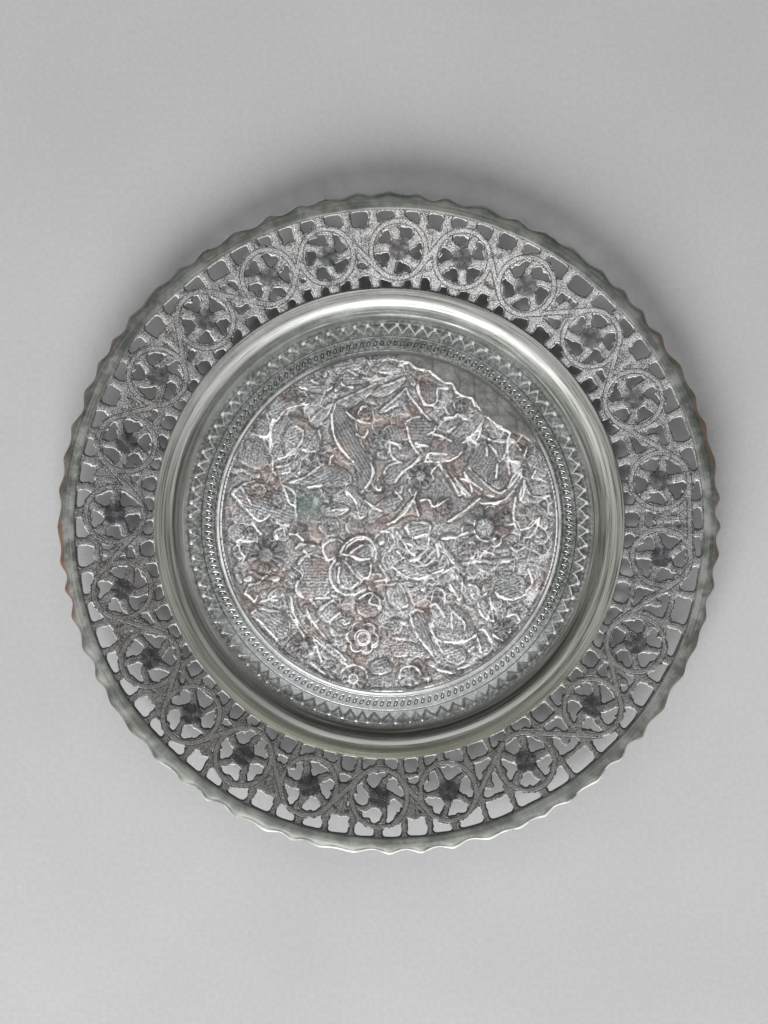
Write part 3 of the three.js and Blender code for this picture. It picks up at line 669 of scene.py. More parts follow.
# Bright edges that the chaser's tool turned up and years of rubbing polished
for edge in [
    [(-25.5, 61.8), (-16, 66.2), (-6.5, 70.8)], [(-39.7, 51.5), (-35, 56.5), (-28.5, 60.3)],
    [(-60, 38), (-59.8, 47), (-58.8, 52.5), (-56.5, 52), (-52.5, 57.5), (-47, 59.3)],
    [(-58.8, 33), (-58.6, 27)], [(-57, 28.5), (-51, 29.8), (-48, 32.5), (-46, 35.5)],
    [(-51.5, 34.8), (-46, 38.8), (-43.6, 43), (-43.4, 47)], [(-35.5, 47.5), (-34.5, 43.5)],
    [(-43.5, 37.3), (-39, 36.3), (-35.5, 37.5)], [(-51, 20.6), (-43.5, 22.8), (-38, 26.7), (-33, 30)],
    [(-41, 18.3), (-34, 19.2)], [(-53.5, 19.2), (-50.3, 10.5), (-47.5, 8.8)],
    [(-53.5, 19.2), (-47.7, 15.5), (-47.5, 9), (-46.5, 3.5)], [(-79, 15), (-74, 19.5), (-68, 21.5)],
    [(-79, 15), (-73, 8.5), (-67, 1.8), (-63, 1.8), (-60, 4.5)], [(-74.5, 18), (-69.5, 9.5)],
    [(-29, 55), (-28.2, 46), (-26, 40.5), (-22, 35), (-18, 31)],
    [(-9.2, 30.5), (-8, 26), (-9.7, 21), (-14, 15.5)], [(-21.5, 56.3), (-17, 52.5), (-9.5, 50.5)],
    [(-16.5, 45), (-13, 43.5), (-10.8, 45.8), (-10.8, 47.5)], [(-28.5, 80.2), (-21, 83), (-12.5, 84)],
    [(-20.5, 77.5), (-14.5, 74.2), (-9, 73)], [(-40.7, 74.5), (-38.5, 71.5), (-35, 71)],
    [(-24.3, 71.3), (-22.5, 69.5), (-18, 68.8)], [(-65, 44), (-62, 43.8), (-59.5, 46)],
    [(-12, 11.5), (-7.5, 8), (-3.5, 6.3)], [(-22, 16.5), (-17, 11), (-15, 3.2), (-12.3, 3.5)],
    [(-28.5, 6.7), (-21, 7.3)], [(-30, 29.8), (-29.5, 33), (-28, 34.5)],
    [(-0.5, -0.5), (4, 2), (8, 5.5), (12, 11.5), (14, 16)], [(12.5, 12), (14, 7), (15, 4)],
    [(5, 79.5), (10, 81.3), (14, 78.3), (20.5, 77.2)], [(20.5, 77.2), (24, 74), (28.5, 71.3)],
    [(28.5, 71), (31.8, 70.6), (33, 68.5), (34.5, 66.2), (38.5, 64), (42, 63.3)], [(42, 63), (43.3, 59.5)],
    [(14.8, 70), (15.5, 65), (18.5, 60.5), (22.5, 60), (24.5, 62.5), (24.6, 68), (29.8, 68.2)],
    [(-3, 69.5), (2, 71), (7.5, 73.5)],
    [(-4.5, 57), (1.5, 61.7), (6, 65.5), (8.6, 68.5), (10, 65), (15, 59), (17, 56), (21.5, 51.8)],
    [(9, 51.5), (12, 53.3), (15.5, 53.8)], [(8, 52), (9.5, 47), (10.5, 42), (13, 37.5), (15.5, 35)],
    [(13.5, 40.5), (16, 39.8), (20, 39)], [(23.5, 49.5), (22.8, 46.5), (19.5, 45)],
    [(22.5, 45), (26.5, 44.3), (31.5, 41.5)], [(28, 53.5), (33, 54), (35, 55.5), (37.5, 53.3), (42, 52)],
    [(30, 46.5), (33.5, 49)], [(41, 43.5), (45, 47.5), (47, 50.8), (46, 45.5), (44.5, 42.3)],
    [(37, 40.5), (41, 42.5), (45, 40)], [(20, 35.5), (29, 35)], [(18.5, 31.5), (20, 35.5)],
    [(18, 31.3), (25.5, 30.8)], [(22, 26.5), (25.5, 30), (27, 27), (31, 22.5), (35, 15.5)],
    [(33.5, 22.7), (37, 18.5), (41, 14)], [(36, 22.8), (42, 20.5), (47, 17)], [(38, 26), (41, 20), (42, 16)],
    [(40, 28.5), (45, 23.8), (50.5, 18.5), (55.5, 15.5), (60, 18), (63, 24), (67.5, 27.7)],
    [(66.8, 26), (62, 19.5), (57, 15)], [(46, 10.2), (52, 10.3), (58, 11.8), (63, 16.5)],
    [(30, 1), (36, 5), (41, 8.5), (46, 13)], [(50.3, 40), (54, 36), (56.2, 31.2), (59.5, 36.5), (60, 42)],
    [(50, 42.5), (54, 41.5), (59, 41.3)],
    [(50, 53.5), (53.5, 50.5), (56, 48), (61, 46), (60.3, 42), (60.3, 31), (61, 25)],
    [(62.5, 41.5), (65, 39.5), (66.5, 37)], [(61, 31.5), (66.5, 31)], [(54.7, 30), (54.3, 23)],
    [(49.5, 38.5), (49.7, 34.5)],
    [(66.5, 11.5), (68.3, 16), (68.5, 21.5), (69.5, 17.5), (72.5, 14), (77, 13.3), (83, 14.5)],
    [(64, -2), (63, 5), (64, 13)], [(0.5, 40), (1, 35), (3.5, 32), (6.5, 30.5)],
    [(-2.5, 25), (-0.5, 29), (5, 31)], [(0.5, 41), (4, 40), (6, 38)],
    [(3, 20.8), (7, 26), (12, 29.5), (16, 34.5)], [(2.5, 17), (6.5, 12.5)],
    [(16, 11.5), (20, 12), (23, 8.5), (30, 12.5)], [(70, 38.5), (68.5, 34)],
    [(74, 26.5), (72.5, 23), (76, 22.5), (80, 20.8)],
    [(-24.5, -14.5), (-21.5, -10), (-16.5, -7), (-12, -7), (-8.5, -9.5), (-6.5, -14), (-7, -19)],
    [(-24, -15.5), (-19, -16.5), (-15, -18), (-9.5, -17.7), (-8.3, -14.5), (-10, -11), (-14, -11.3), (-19.5, -15)],
    [(-23.5, -18.5), (-20.5, -21), (-17.5, -25.5), (-13.5, -28.5)],
    [(-27, -18), (-29.8, -23), (-29.5, -29), (-26.5, -33.5), (-22, -36), (-18, -35.5)],
    [(-25, -22.5), (-25.8, -28), (-23.5, -32.2), (-19, -33), (-15.5, -30)],
    [(-10, -18), (-9, -22), (-10, -27), (-13, -28)], [(-6, -18), (-3, -24), (-1, -28), (-7, -29.2)],
    [(-31.5, -18.5), (-33.5, -12.5), (-30.5, -9), (-27, -8), (-23.5, -9.5)],
    [(-45.5, -20.5), (-42, -16.3), (-38, -15.8), (-33, -17.5)], [(-47, -12.5), (-44, -10.5), (-37.5, -11.5)],
    [(-43, -13.5), (-40, -17)], [(-50, -5.5), (-46.5, -5.8), (-43.5, -8.5)],
    [(-56, -7.5), (-57.5, -3.8), (-53, -2), (-50.5, -0.5)], [(-53.2, -2), (-52.5, -6)],
    [(-69, 0.5), (-66.5, -3.5), (-64.5, -5.5)], [(-76, -8.3), (-72, -8.7), (-67, -9.2)],
    [(-76.3, -9), (-75, -14), (-72.5, -17)], [(-70.5, -31), (-66, -30), (-63, -27), (-61.5, -26.5)],
    [(-73, -35.5), (-70.5, -37), (-68, -39.5), (-66.5, -36.5)], [(-65.5, -39.5), (-60, -38.7), (-56, -38.7)],
    [(-65.5, -43), (-60, -43.8), (-55.5, -44.5)],
    [(-67, -43.5), (-69.5, -46), (-65, -49.5), (-61, -54), (-56.5, -59)],
    [(-49.5, -36), (-48.5, -44.5), (-46, -50)], [(-50, -46), (-46, -52), (-43, -57)],
    [(-42, -42), (-40, -47.5), (-36, -53), (-31, -59)], [(-35, -44), (-31, -40.5), (-28, -39)],
    [(-24.5, -45), (-29.5, -49.5), (-28.5, -55)], [(-31, -61), (-26, -64.5), (-22, -69)],
    [(-25, -76), (-21, -72.5), (-17, -71.5), (-12, -74), (-11, -78)], [(-39.5, -70.5), (-34, -75), (-30, -79)],
    [(-36.5, -62.5), (-34, -69.5)], [(-15, -38), (-11, -35.5), (-8, -35.5), (-4.5, -39), (-5, -43)],
    [(-8, -36), (-10, -40), (-6, -41.5)], [(0, -31), (5, -30.5), (8, -35), (9, -39)],
    [(-46, -29), (-47, -34), (-43.5, -37.5)], [(-37, -38), (-30, -37.5)],
    [(-4, -4), (0.5, -4.5), (3, -9.5), (0, -14)], [(10, -5.5), (9.5, -0.5), (13, 0.5), (20, 0.3)],
    [(13, -7.3), (19.7, -5.5), (19.9, -12)], [(4, -4), (7.5, -9.5), (10, -14), (13, -16)],
    [(4, -14), (8.5, -18.5), (13, -18), (17, -15), (20, -12.3)],
    [(8, -19), (13, -21.2), (19, -21), (23.5, -17)], [(24.5, -10.5), (25, -17)],
    [(2, -22), (8, -26.5), (15, -28), (22, -25.5), (27.5, -23.5)], [(29, -24), (33.5, -21.7), (35.5, -25)],
    [(31, -31), (36, -39), (37, -31), (36.8, -27.5)], [(40.5, -31), (44, -32), (46.5, -37), (49.5, -35)],
    [(45, -40), (46, -45), (49.5, -48.5), (51, -43)], [(51, -37.5), (52, -44), (53, -49.5)],
    [(30, -41.5), (34, -46), (38, -50), (38.2, -54)], [(31.5, -45), (32, -53.5)],
    [(20.5, -51), (23, -57.5), (29, -60), (38, -60), (44, -56.5)], [(44.5, -57.5), (46.5, -63.5)],
    [(46, -53.5), (49, -55), (51.5, -60)], [(21.5, -39), (23, -33.5), (26, -33), (28.3, -36), (28, -41)],
    [(20.8, -42), (24, -41), (28, -47)], [(10.5, -45.5), (13.5, -43.7), (17, -44.5)],
    [(10.5, -46), (13.5, -55), (18, -61.5), (22, -66.5)], [(20.5, -50.5), (24, -59.5), (27, -65)],
    [(43.5, 1.5), (43, -3.5), (45.5, -7.5), (49, -9), (54, -7.5)], [(27, -7.5), (33, -7.2), (40, -4.5)],
    [(46, -18), (48, -14.5), (53, -15.5)], [(68, -7), (71, -7), (74, -3.5), (76, 2)],
    [(67.5, -3), (72, -1.5), (76, 3)], [(60, -10), (64, -14), (68, -12.5)],
    [(52, -33), (57, -37.5), (63, -38.5), (69, -36)], [(71, -21), (72.5, -20.7), (76, -22)],
    [(70.3, -23.5), (72.5, -30), (69.5, -34)], [(52.5, -56), (55, -58), (59.5, -60)],
    [(60, -47), (64, -46), (66.5, -49.5)], [(25, -74), (31, -75.5), (36, -76.5)], [(35, -73.5), (41, -71.5)],
    [(40, -64.5), (44, -62), (46.5, -65)], [(5, -78), (7, -73), (13, -72.5), (16, -76)],
]:
    line = drawn(edge, False, 4)
    near = np.flatnonzero(((spots > line.min(0) - 2.5) & (spots < line.max(0) + 2.5)).all(1))
    off = off_line(spots[near], line, False) + unsteady[near] * 0.8
    weight = pressure[near]
    deepen("line", near, np.exp(-(off / (0.36 + 0.26 * weight)) ** 2) * (0.7 + 0.3 * weight))
    # A stripe of painted shade beside each bright edge
    deepen("sunk", near, 0.6 * np.exp(-((off - 1.15) / 0.5) ** 2))
    chased["rise"][near] += 0.16 * np.exp(-(off / 0.5) ** 2)

# The rosette that stands clear of the rest, its petals outlined
rel = spots - (-13.4, -57.8)
rho, phi = np.hypot(rel[:, 0], rel[:, 1]), np.arctan2(rel[:, 1], rel[:, 0])
petals = 6.2 + 1.9 * np.abs(np.cos(3 * phi + 0.3))
deepen("line", everywhere, np.exp(-((rho - petals) / 0.5) ** 2) * (0.5 + 0.5 * pressure))
deepen("line", everywhere, np.exp(-((rho - 3.9) / 0.5) ** 2) * (0.55 + 0.45 * pressure))

# Faint cuts left on the plain part
for edge in [
    [(22, 82), (22.5, 75)], [(43, 73.6), (43.2, 66), (44.2, 57.5)], [(55, 67.3), (54.4, 57.2)],
    [(64.5, 53.4), (64.5, 47)],
    [(48.7, 64.1), (52, 60.5), (55, 57.2)], [(58.8, 57.2), (64, 53.5), (69, 50.8)], [(33, 77), (36, 72), (35, 67)],
]:
    off = off_line(spots, drawn(edge, False, 4), False)
    deepen("sunk", everywhere, np.exp(-(off / 0.5) ** 2) * chased["bare"])

# The plain margin, and the bright line near its edge: broken at the bottom, missing at the top
plain = ramp(from_middle, MARGIN_RADIUS, MARGIN_RADIUS + 0.6)
turned = np.degrees(np.arctan2(spots[:, 1], spots[:, 0]))
broken = 0.6 + 0.4 * np.sin(turned * 0.31 + 2 * np.sin(turned * 0.083)) + 0.25 * np.sin(turned * 1.3)
broken = np.maximum(np.clip(broken, 0.15, 1), ramp(np.abs(turned + 95), 45, 75))
rim_line = np.exp(-((from_middle - MARGIN_LINE) / 0.45) ** 2) * broken * ramp(np.abs(turned - 72), 38, 44)
chased["line"] = np.maximum(chased["line"] * (1 - plain), rim_line)
deepen("bare", everywhere, ramp(from_middle, MEDALLION_RADIUS - 0.2, MEDALLION_RADIUS))
deepen("figure", everywhere, plain)
chased["rise"] = chased["rise"] * (1 - plain) + plain * 0.3
# The finished level: forms, rubbed lines, sunk edges and the marks of the matting punch
punch = 0.06 * np.sin(spots[:, 0] * 5.1 + 2 * np.sin(spots[:, 1])) * np.sin(spots[:, 1] * 4.7 + np.sin(spots[:, 0]))
level = np.minimum(chased["rise"], 1.05) + 0.18 * chased["line"] - 0.14 * chased["sunk"] * (1 - chased["figure"])
level += punch * (1 - chased["figure"])
level *= 1 - ramp(from_middle, MEDALLION_RADIUS - 0.6, MEDALLION_RADIUS)
medallion_points[on_face, 2] = MEDALLION_TOP - 0.25 + level
medallion_points[~on_face, 2] = SHEET + 0.005
move_points(medallion.data, medallion_points)
for name in ("figure", "line", "hatch", "tone", "sunk", "bare"):
    layer = np.zeros(len(medallion_points))
    layer[on_face] = chased[name]
    store(medallion.data, name, layer)

material, shader, place = new_finish("chased_tinned_copper")
x, y, z = place.split()
mottle = place.noise(130, 5, 0.7)
stains = place.noise(42, 4, 0.6)
cloud = place.noise(17, 2, 0.5)
curls = (place.noise(105, 2, 0.5) * 10).maths("PINGPONG", 0.5)
fine_curls = (place.noise(240, 2, 0.5) * 9).maths("PINGPONG", 0.5)
grain = place.noise(820, 3, 0.75)
figure, line, hatch = place.attribute("figure"), place.attribute("line"), place.attribute("hatch")
tone, sunk = place.attribute("tone"), place.attribute("sunk")
hatching = (hatch * 0.62 + mottle * 1.3 + grain * 0.3).maths("PINGPONG", 0.5).rise(0.12, 0.36)
# A patch of verdigris to the left of the middle
green_x, green_y = x * 1000 + 41, y * 1000 - 9
from_green = green_x * green_x + green_y * green_y
verdigris = (from_green + mottle * 480).rise(430, 170)
bloom_spot = ((green_x - 4) * (green_x - 4) + (green_y - 2) * (green_y - 2) * 0.4 + mottle * 8).rise(6.5, 4.5)
worn = stains.rise(0.5, 0.41)
copper = mottle.rise(0.3, 0.7).blend((0.27, 0.2, 0.175), (0.52, 0.415, 0.375))
copper = ((1 - worn) * 0.85).blend(copper, (0.33, 0.332, 0.333))
grey = tone.blend((0.12, 0.127, 0.137), (0.44, 0.447, 0.455))
grey = (hatching * 0.45).blend(grey, (0.6, 0.6, 0.597))
# Dark and bright curly lines on the ground: the matting marks, their light and shade painted in
dark_curls = (fine_curls.rise(0.14, 0.04) * 0.36 + curls.rise(0.16, 0.06) * 0.36).maths("MINIMUM", 0.7)
bright_curls = (curls.rise(0.4, 0.48) + fine_curls.rise(0.38, 0.48) * 0.5) * grain.rise(0.36, 0.5)
# Painted sheen: brighter in clouds and towards the bottom of the picture
lit = cloud.rise(0.2, 0.7) * 0.85 + (y * -1000).rise(-30, 70) * 0.6
shine = (grain.rise(0.5, 0.62) * 0.6 + bright_curls) * lit * (1 - worn * 0.5)
dim = figure * tone.rise(0.5, 0.2)
# Facets left by the matting punch, with edges turned up between them
wandered = place.vector(x + (place.noise(60, 2, 0.5) - 0.5) * 0.014, y + (stains - 0.5) * 0.014, z)
facets = {"Vector": wandered, "Scale": 115}
facet_edge = place.node("ShaderNodeTexVoronoi", facets, feature="DISTANCE_TO_EDGE")
facet = place.node("ShaderNodeTexVoronoi", facets, out="Color").split()[0]
turned_up = facet_edge.rise(0.05, 0.015) * (mottle * 0.6 + cloud * 0.4).rise(0.46, 0.56) * (1 - figure * 0.65)
bare = place.attribute("bare").rise(0.4, 0.6)
plain_tin = mottle.rise(0.3, 0.75).blend((0.12, 0.126, 0.112), (0.34, 0.345, 0.32))
colour = layered((figure.rise(0.35, 0.65) * (1 - worn * 0.75)).blend(copper, grey), [
    (dark_curls, (0.05, 0.048, 0.046)),
    (grain.rise(0.48, 0.36) * 0.34, (0.06, 0.056, 0.052)),
    # Painted sheen
    ((shine * (0.95 - dim * 0.6)).maths("MINIMUM", 1), (0.94, 0.942, 0.945)),
    ((facet.rise(0.6, 0.95) * 0.4).maths("MAXIMUM", dim * 0.25), (0.09, 0.09, 0.094)),
    (facet.rise(0.35, 0.05) * 0.2, (0.62, 0.6, 0.59)),
    (sunk * (1 - line) * 0.75, (0.06, 0.052, 0.048)),
    (turned_up * 0.7, (0.97, 0.968, 0.965)),
    (verdigris * 0.7 * (1 - line), (0.1, 0.16, 0.14)),
    (bloom_spot, (0.5, 0.62, 0.55)),
    (bare * 0.85, (sunk * 0.4).blend(plain_tin, (0.04, 0.042, 0.036))),
    (line.rise(0.3, 0.66) * grain.rise(0.3, 0.42), (1, 0.995, 0.985)),
])
height = facet * 0.6 + hatching * figure * 0.3 + grain * 0.6 + curls * 0.8 + fine_curls * 0.35
height = height * (1 - bare * 0.9) + mottle * 0.4
dress(shader, colour, 0.42 + mottle * 0.2, height, 0.7, 0.32 - line * 0.28)
medallion.data.materials.append(material)
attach(medallion, "root")
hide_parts("medallion_disc")


# GALLERY
# One conical sheet of tinned copper, sawn through by hand into roundels with a flower on five leafy arms,
# a stem that winds over and under them, bowed bars between them and short struts to both margins.
# Every strap is engraved along its edges.

ROUNDEL_ANGLES = (9, 27, 42.5, 60, 74.5, 88, 103, 116, 132, 147.5, 163, 178, 194, 209.5, 224, 238, 253, 268,
                  282.5, 300, 318, 334, 353)
LAP_START = 113.6
LAP_END = 118.3
TRACERY_RADIUS = 156.0
GALLERY_RADIUS = 159.9
GALLERY_RISE = math.tan(math.radians(24))
ROUNDEL_PATH = 137.0
STRAP = 1.75
LARGEST_ROUNDEL = 15.6
GALLERY_STEPS = 1060


def ledge_height(r):
    return CREST_HEIGHT - (r - CREST_RADIUS) * LEDGE_FALL


def gallery_height(r):
    """The middle of the gallery's sheet: down under the ledge, up the cone, level in the rim."""
    lap = ledge_height(np.minimum(r, LAP_END)) - SHEET / math.cos(math.atan(LEDGE_FALL)) - 0.3
    return lap + np.clip(r - LAP_END, 0, TRACERY_RADIUS - LAP_END) * GALLERY_RISE


HEM_HEIGHT = float(gallery_height(np.array(TRACERY_RADIUS)))

roundels = []
for i, degrees in enumerate(ROUNDEL_ANGLES):
    before = math.radians((degrees - ROUNDEL_ANGLES[i - 1]) % 360)
    after = math.radians((ROUNDEL_ANGLES[(i + 1) % len(ROUNDEL_ANGLES)] - degrees) % 360)
    nearest = 2 * ROUNDEL_PATH * math.sin(min(before, after) / 2)
    angle = math.radians(degrees)
    reach = min(LARGEST_ROUNDEL, nearest * 0.48) - STRAP
    side = -1 if i % 2 else 1
    roundels.append({
        "angle": angle, "before": before, "after": after, "reach": reach, "flower": reach * 0.42, "side": side,
        "turn": math.radians(degrees + i * 31), "curl": (0.1 + 0.45 * math.sin(i * 2.3)) * side,
        "leaf": 0.75 + 0.35 * math.sin(i * 1.7),
        "open": -math.sin(angle) * (0.7 if math.sin(angle) > 0 else 1),  # thin straps at the bottom, wide at the top
        "centre": ROUNDEL_PATH * np.array([math.cos(angle), math.sin(angle)]),
    })


def melt(a, b, reach=1.3):
    """The nearer of two distances, with the corner between them filled as a saw leaves it."""
    near = np.maximum(reach - np.abs(a - b), 0) / reach
    return np.minimum(a, b) - near * near * reach / 4


def from_line(flat, start, end):
    """Distance from a straight line between two points, and the share of the way along it."""
    way = end - start
    along = np.clip(((flat - start) @ way) / (way @ way), 0, 1)
    return np.linalg.norm(flat - start - along[:, None] * way, axis=1), along


def stem_ends(one, other):
    """Where the winding stem leaves one roundel and meets the next: their common tangent."""
    gap = other["centre"] - one["centre"]
    span = np.linalg.norm(gap)
    crossing = one["side"] != other["side"]
    swing = math.acos(min(1, (one["reach"] + other["reach"]) / span)) if crossing else math.pi / 2
    out = math.atan2(gap[1], gap[0]) - one["side"] * swing
    arrow = np.array([math.cos(out), math.sin(out)])
    return one["centre"] + arrow * one["reach"], other["centre"] + arrow * other["reach"] * (-1 if crossing else 1)


def tracery(flat):
    """Signed distance from the sawn edges, below zero in the metal, each point's place in its roundel, and its
    distance from the middle of the nearest ring or stem."""
    r = np.hypot(flat[:, 0], flat[:, 1])
    turn = np.arctan2(flat[:, 1], flat[:, 0])
    wobble = 0.18 * np.sin(flat[:, 0] * 0.41 + 1) * np.sin(flat[:, 1] * 0.37 + 2)
    cut = melt(r - LEDGE_RADIUS - 0.75 + wobble, TRACERY_RADIUS - 0.7 - r + wobble)
    seat = np.full((len(flat), 3), 9.0)
    band = np.full(len(flat), 9.0)
    for i, one in enumerate(roundels):
        other = roundels[(i + 1) % len(roundels)]
        swing = np.abs((turn - one["angle"] + math.pi) % (2 * math.pi) - math.pi)
        near = np.flatnonzero(swing < max(one["before"], one["after"]) * 1.1)
        spot = flat[near] - one["centre"]
        rho = np.hypot(spot[:, 0], spot[:, 1])
        phi = np.arctan2(spot[:, 1], spot[:, 0]) - one["turn"]
        best = cut[near]
        # The ring, and the flower in its middle
        strap = STRAP * (1 - 0.12 * one["open"] + 0.12 * np.sin(3 * phi))
        best = melt(best, np.abs(rho - one["reach"]) - strap, 2.2)
        best = melt(best, rho - one["flower"] * (1.02 + 0.09 * np.cos(5 * phi)))
        # Five leafy arms, curled a little and spread where they meet the ring
        share = np.clip((rho - one["flower"] * 0.7) / (one["reach"] - one["flower"] * 0.7), 0, 1)
        lobe = (phi - one["curl"] * (share - 0.35) + math.pi / 5) % (2 * math.pi / 5) - math.pi / 5
        leaf = np.abs(lobe) * rho - 1.5 + 0.25 * one["open"] - one["leaf"] * np.sin(math.pi * share) ** 1.2
        between = (math.pi / 5 - np.abs(lobe)) * rho
        leaf = np.minimum(leaf, np.maximum(between - 0.6 * (rho - one["reach"] + 3.0), one["reach"] - 3.0 - rho))
        leaf = np.where(rho > one["reach"] + STRAP, 9, leaf)
        best = melt(best, leaf, 2.2)
        # The stem to the next roundel
        start, end = stem_ends(one, other)
        stem = from_line(flat[near], start, end)[0]
        best = melt(best, stem - STRAP, 2.2)
        band[near] = np.minimum(band[near], np.minimum(np.abs(rho - one["reach"]), stem))
        # The filled corner between two roundels
        halfway = one["angle"] + one["after"] / 2
        outward = np.array([math.cos(halfway), math.sin(halfway)])
        gap = np.linalg.norm(other["centre"] - one["centre"]) - one["reach"] - other["reach"]
        tight = min(max((11 - gap) / 3, 0), 1)
        fill = outward * (3.5 + 4.5 * tight)
        corner = from_line(flat[near], outward * (ROUNDEL_PATH - 3), outward * ROUNDEL_PATH + fill)[0]
        best = melt(best, corner - 2 - tight + 0.5 * one["open"], 3)
        # Bowed bars on its inner and outer side
        across = (turn[near] - halfway + math.pi) % (2 * math.pi) - math.pi
        bow = np.abs(r[near] - ROUNDEL_PATH + 0.5) - 9.7 + 12 * across ** 2
        bow = np.maximum(np.abs(bow) - 1.7 + 0.4 * one["open"], one["reach"] - rho)
        to_other = np.linalg.norm(flat[near] - other["centre"], axis=1)
        bow = np.maximum(bow, np.maximum(other["reach"] - to_other, np.abs(across) * ROUNDEL_PATH - 12))
        best = melt(best, bow, 2.2)
        # Struts to both margins
        for place_along in (-1, 0, 1):
            lean = place_along / 3 * (one["before"] if place_along < 0 else one["after"])
            aside = ROUNDEL_PATH * math.sin(lean)
            climb = math.sqrt(max(one["reach"] ** 2 - aside ** 2, 0))
            middle = ROUNDEL_PATH * math.cos(lean)
            arrow = np.array([math.cos(one["angle"] + lean), math.sin(one["angle"] + lean)])
            for low, high in ((LEDGE_RADIUS, middle - climb), (middle + climb, TRACERY_RADIUS)):
                off, along = from_line(flat[near], arrow * low, arrow * high)
                eye = 0.5 * np.exp(-((along - 0.5) * (high - low) / 1.6) ** 2) if high - low > 5 else 0
                best = melt(best, off - 2.0 + 0.45 * one["open"] - eye, 2.2)
        cut[near] = best
        # Each point belongs to the nearest flower
        mine = near[rho < np.hypot(seat[near, 0], seat[near, 1]) * one["flower"]]
        local = flat[mine] - one["centre"]
        c, s = math.cos(one["turn"]), math.sin(one["turn"])
        seat[mine, 0] = (local[:, 0] * c + local[:, 1] * s) / one["flower"]
        seat[mine, 1] = (local[:, 1] * c - local[:, 0] * s) / one["flower"]
    # The saw runs unsteadily, except along both margins
    shaky = 0.42 * np.sin(flat[:, 0] * 0.83 + 1.3 * np.sin(flat[:, 1] * 0.41)) * np.sin(flat[:, 1] * 0.77 + 2)
    shaky += 0.22 * np.sin(flat[:, 0] * 1.7 + 2) * np.sin(flat[:, 1] * 1.9 + 1)
    inside = np.clip(np.minimum(r - LAP_END - 1.2, TRACERY_RADIUS - 1.4 - r) / 2, 0, 1)
    return cut + shaky * inside, seat, band


gallery_radii = np.concatenate([[LAP_START, 115.6, 117.5], np.linspace(LAP_END, TRACERY_RADIUS - 0.1, 51),
                                [157.3, GALLERY_RADIUS]])
sheet = bmesh.new()
bmesh.ops.create_grid(sheet, x_segments=GALLERY_STEPS, y_segments=len(gallery_radii) - 1, size=1)
for i, vert in enumerate(sheet.verts):
    step, ring = i % (GALLERY_STEPS + 1), i // (GALLERY_STEPS + 1)
    r, angle = gallery_radii[ring], 2 * math.pi * (step % GALLERY_STEPS) / GALLERY_STEPS
    vert.co = Vector((r * math.cos(angle), r * math.sin(angle), gallery_height(r) + SHEET / 2)) / 1000
bmesh.ops.remove_doubles(sheet, verts=[vert for vert in sheet.verts if vert.is_boundary], dist=1e-6)
flat = np.array([vert.co[:2] for vert in sheet.verts]) * 1000
cut = tracery(flat)[0]
bmesh.ops.delete(sheet, geom=[vert for vert, off in zip(sheet.verts, cut) if off > 0.32], context="VERTS")
bmesh.ops.delete(sheet, geom=[vert for vert in sheet.verts if not vert.link_faces], context="VERTS")
flat = np.array([vert.co[:2] for vert in sheet.verts]) * 1000
radii = np.hypot(flat[:, 0], flat[:, 1])
sawn = np.array([vert.is_boundary for vert in sheet.verts])
sawn &= (radii > LAP_START + 1) & (radii < GALLERY_RADIUS - 1)
# The grid's ragged edges are drawn on to the sawn line
for _ in range(2):
    edge_spots = flat[sawn]
    off = tracery(edge_spots)[0]
    slope = np.stack([tracery(edge_spots + step)[0] - off for step in np.eye(2) * 0.05], 1) / 0.05
    slope /= np.maximum((slope ** 2).sum(1), 0.25)[:, None]
    flat[sawn] = edge_spots - np.clip(off, -0.7, 0.7)[:, None] * slope
sheet.verts.layers.int.new("number")  # each new layer ends the one before it, so this one is found again below
below = sheet.verts.layers.int.new("below")
number = sheet.verts.layers.int["number"]
for i, vert in enumerate(sheet.verts):
    vert[number] = i
grown = bmesh.ops.extrude_face_region(sheet, geom=sheet.faces[:], use_keep_orig=True)
under = [vert for vert in grown["geom"] if isinstance(vert, bmesh.types.BMVert)]
bmesh.ops.translate(sheet, verts=under, vec=(0, 0, -SHEET / 1000))
for vert in under:
    vert[below] = 1
bmesh.ops.recalc_face_normals(sheet, faces=sheet.faces[:])
same_spot = np.array([vert[number] for vert in sheet.verts])
on_top = np.array([vert[below] == 0 for vert in sheet.verts])
gallery = laid_down("pierced_gallery", sheet, 50)

gallery_points = points_of(gallery.data)
gallery_points[:, :2] = flat[same_spot]
radii = np.hypot(gallery_points[:, 0], gallery_points[:, 1])
cut, seat, band = tracery(gallery_points[:, :2])
# Positive on the metal just above a hole, whose cut face looks towards the light at the bottom of the picture: where
# the edge highlights are painted
lit_side = (cut - tracery(gallery_points[:, :2] + (0.03, 0.12))[0]) / 0.12
depth = np.where(sawn[same_spot] | (cut < -0.2), np.maximum(-cut, 0), 0.6)
from_flower = np.hypot(seat[:, 0], seat[:, 1])
petal = np.arctan2(seat[:, 1], seat[:, 0])
relief = 0.42 * (1 - np.exp(-depth / 0.7)) - 0.3
relief += np.where(from_flower < 1.1, 0.35 * np.cos(5 * petal) * np.exp(-((from_flower - 0.75) / 0.3) ** 2)
                   + 0.45 * np.exp(-(from_flower / 0.25) ** 2), 0)
pierced = (radii > LAP_END) & (radii < TRACERY_RADIUS - 0.6)
gallery_points[:, 2] = gallery_height(radii) + np.where(on_top, SHEET / 2 + relief * pierced, -SHEET / 2)
move_points(gallery.data, gallery_points)
store(gallery.data, "depth", depth)
store(gallery.data, "lit_side", lit_side)
store(gallery.data, "band", band)
seat[:, 2] = on_top
gallery.data.attributes.new("seat", "FLOAT_VECTOR", "POINT").data.foreach_set(
    "vector", seat.astype(np.float32).ravel())

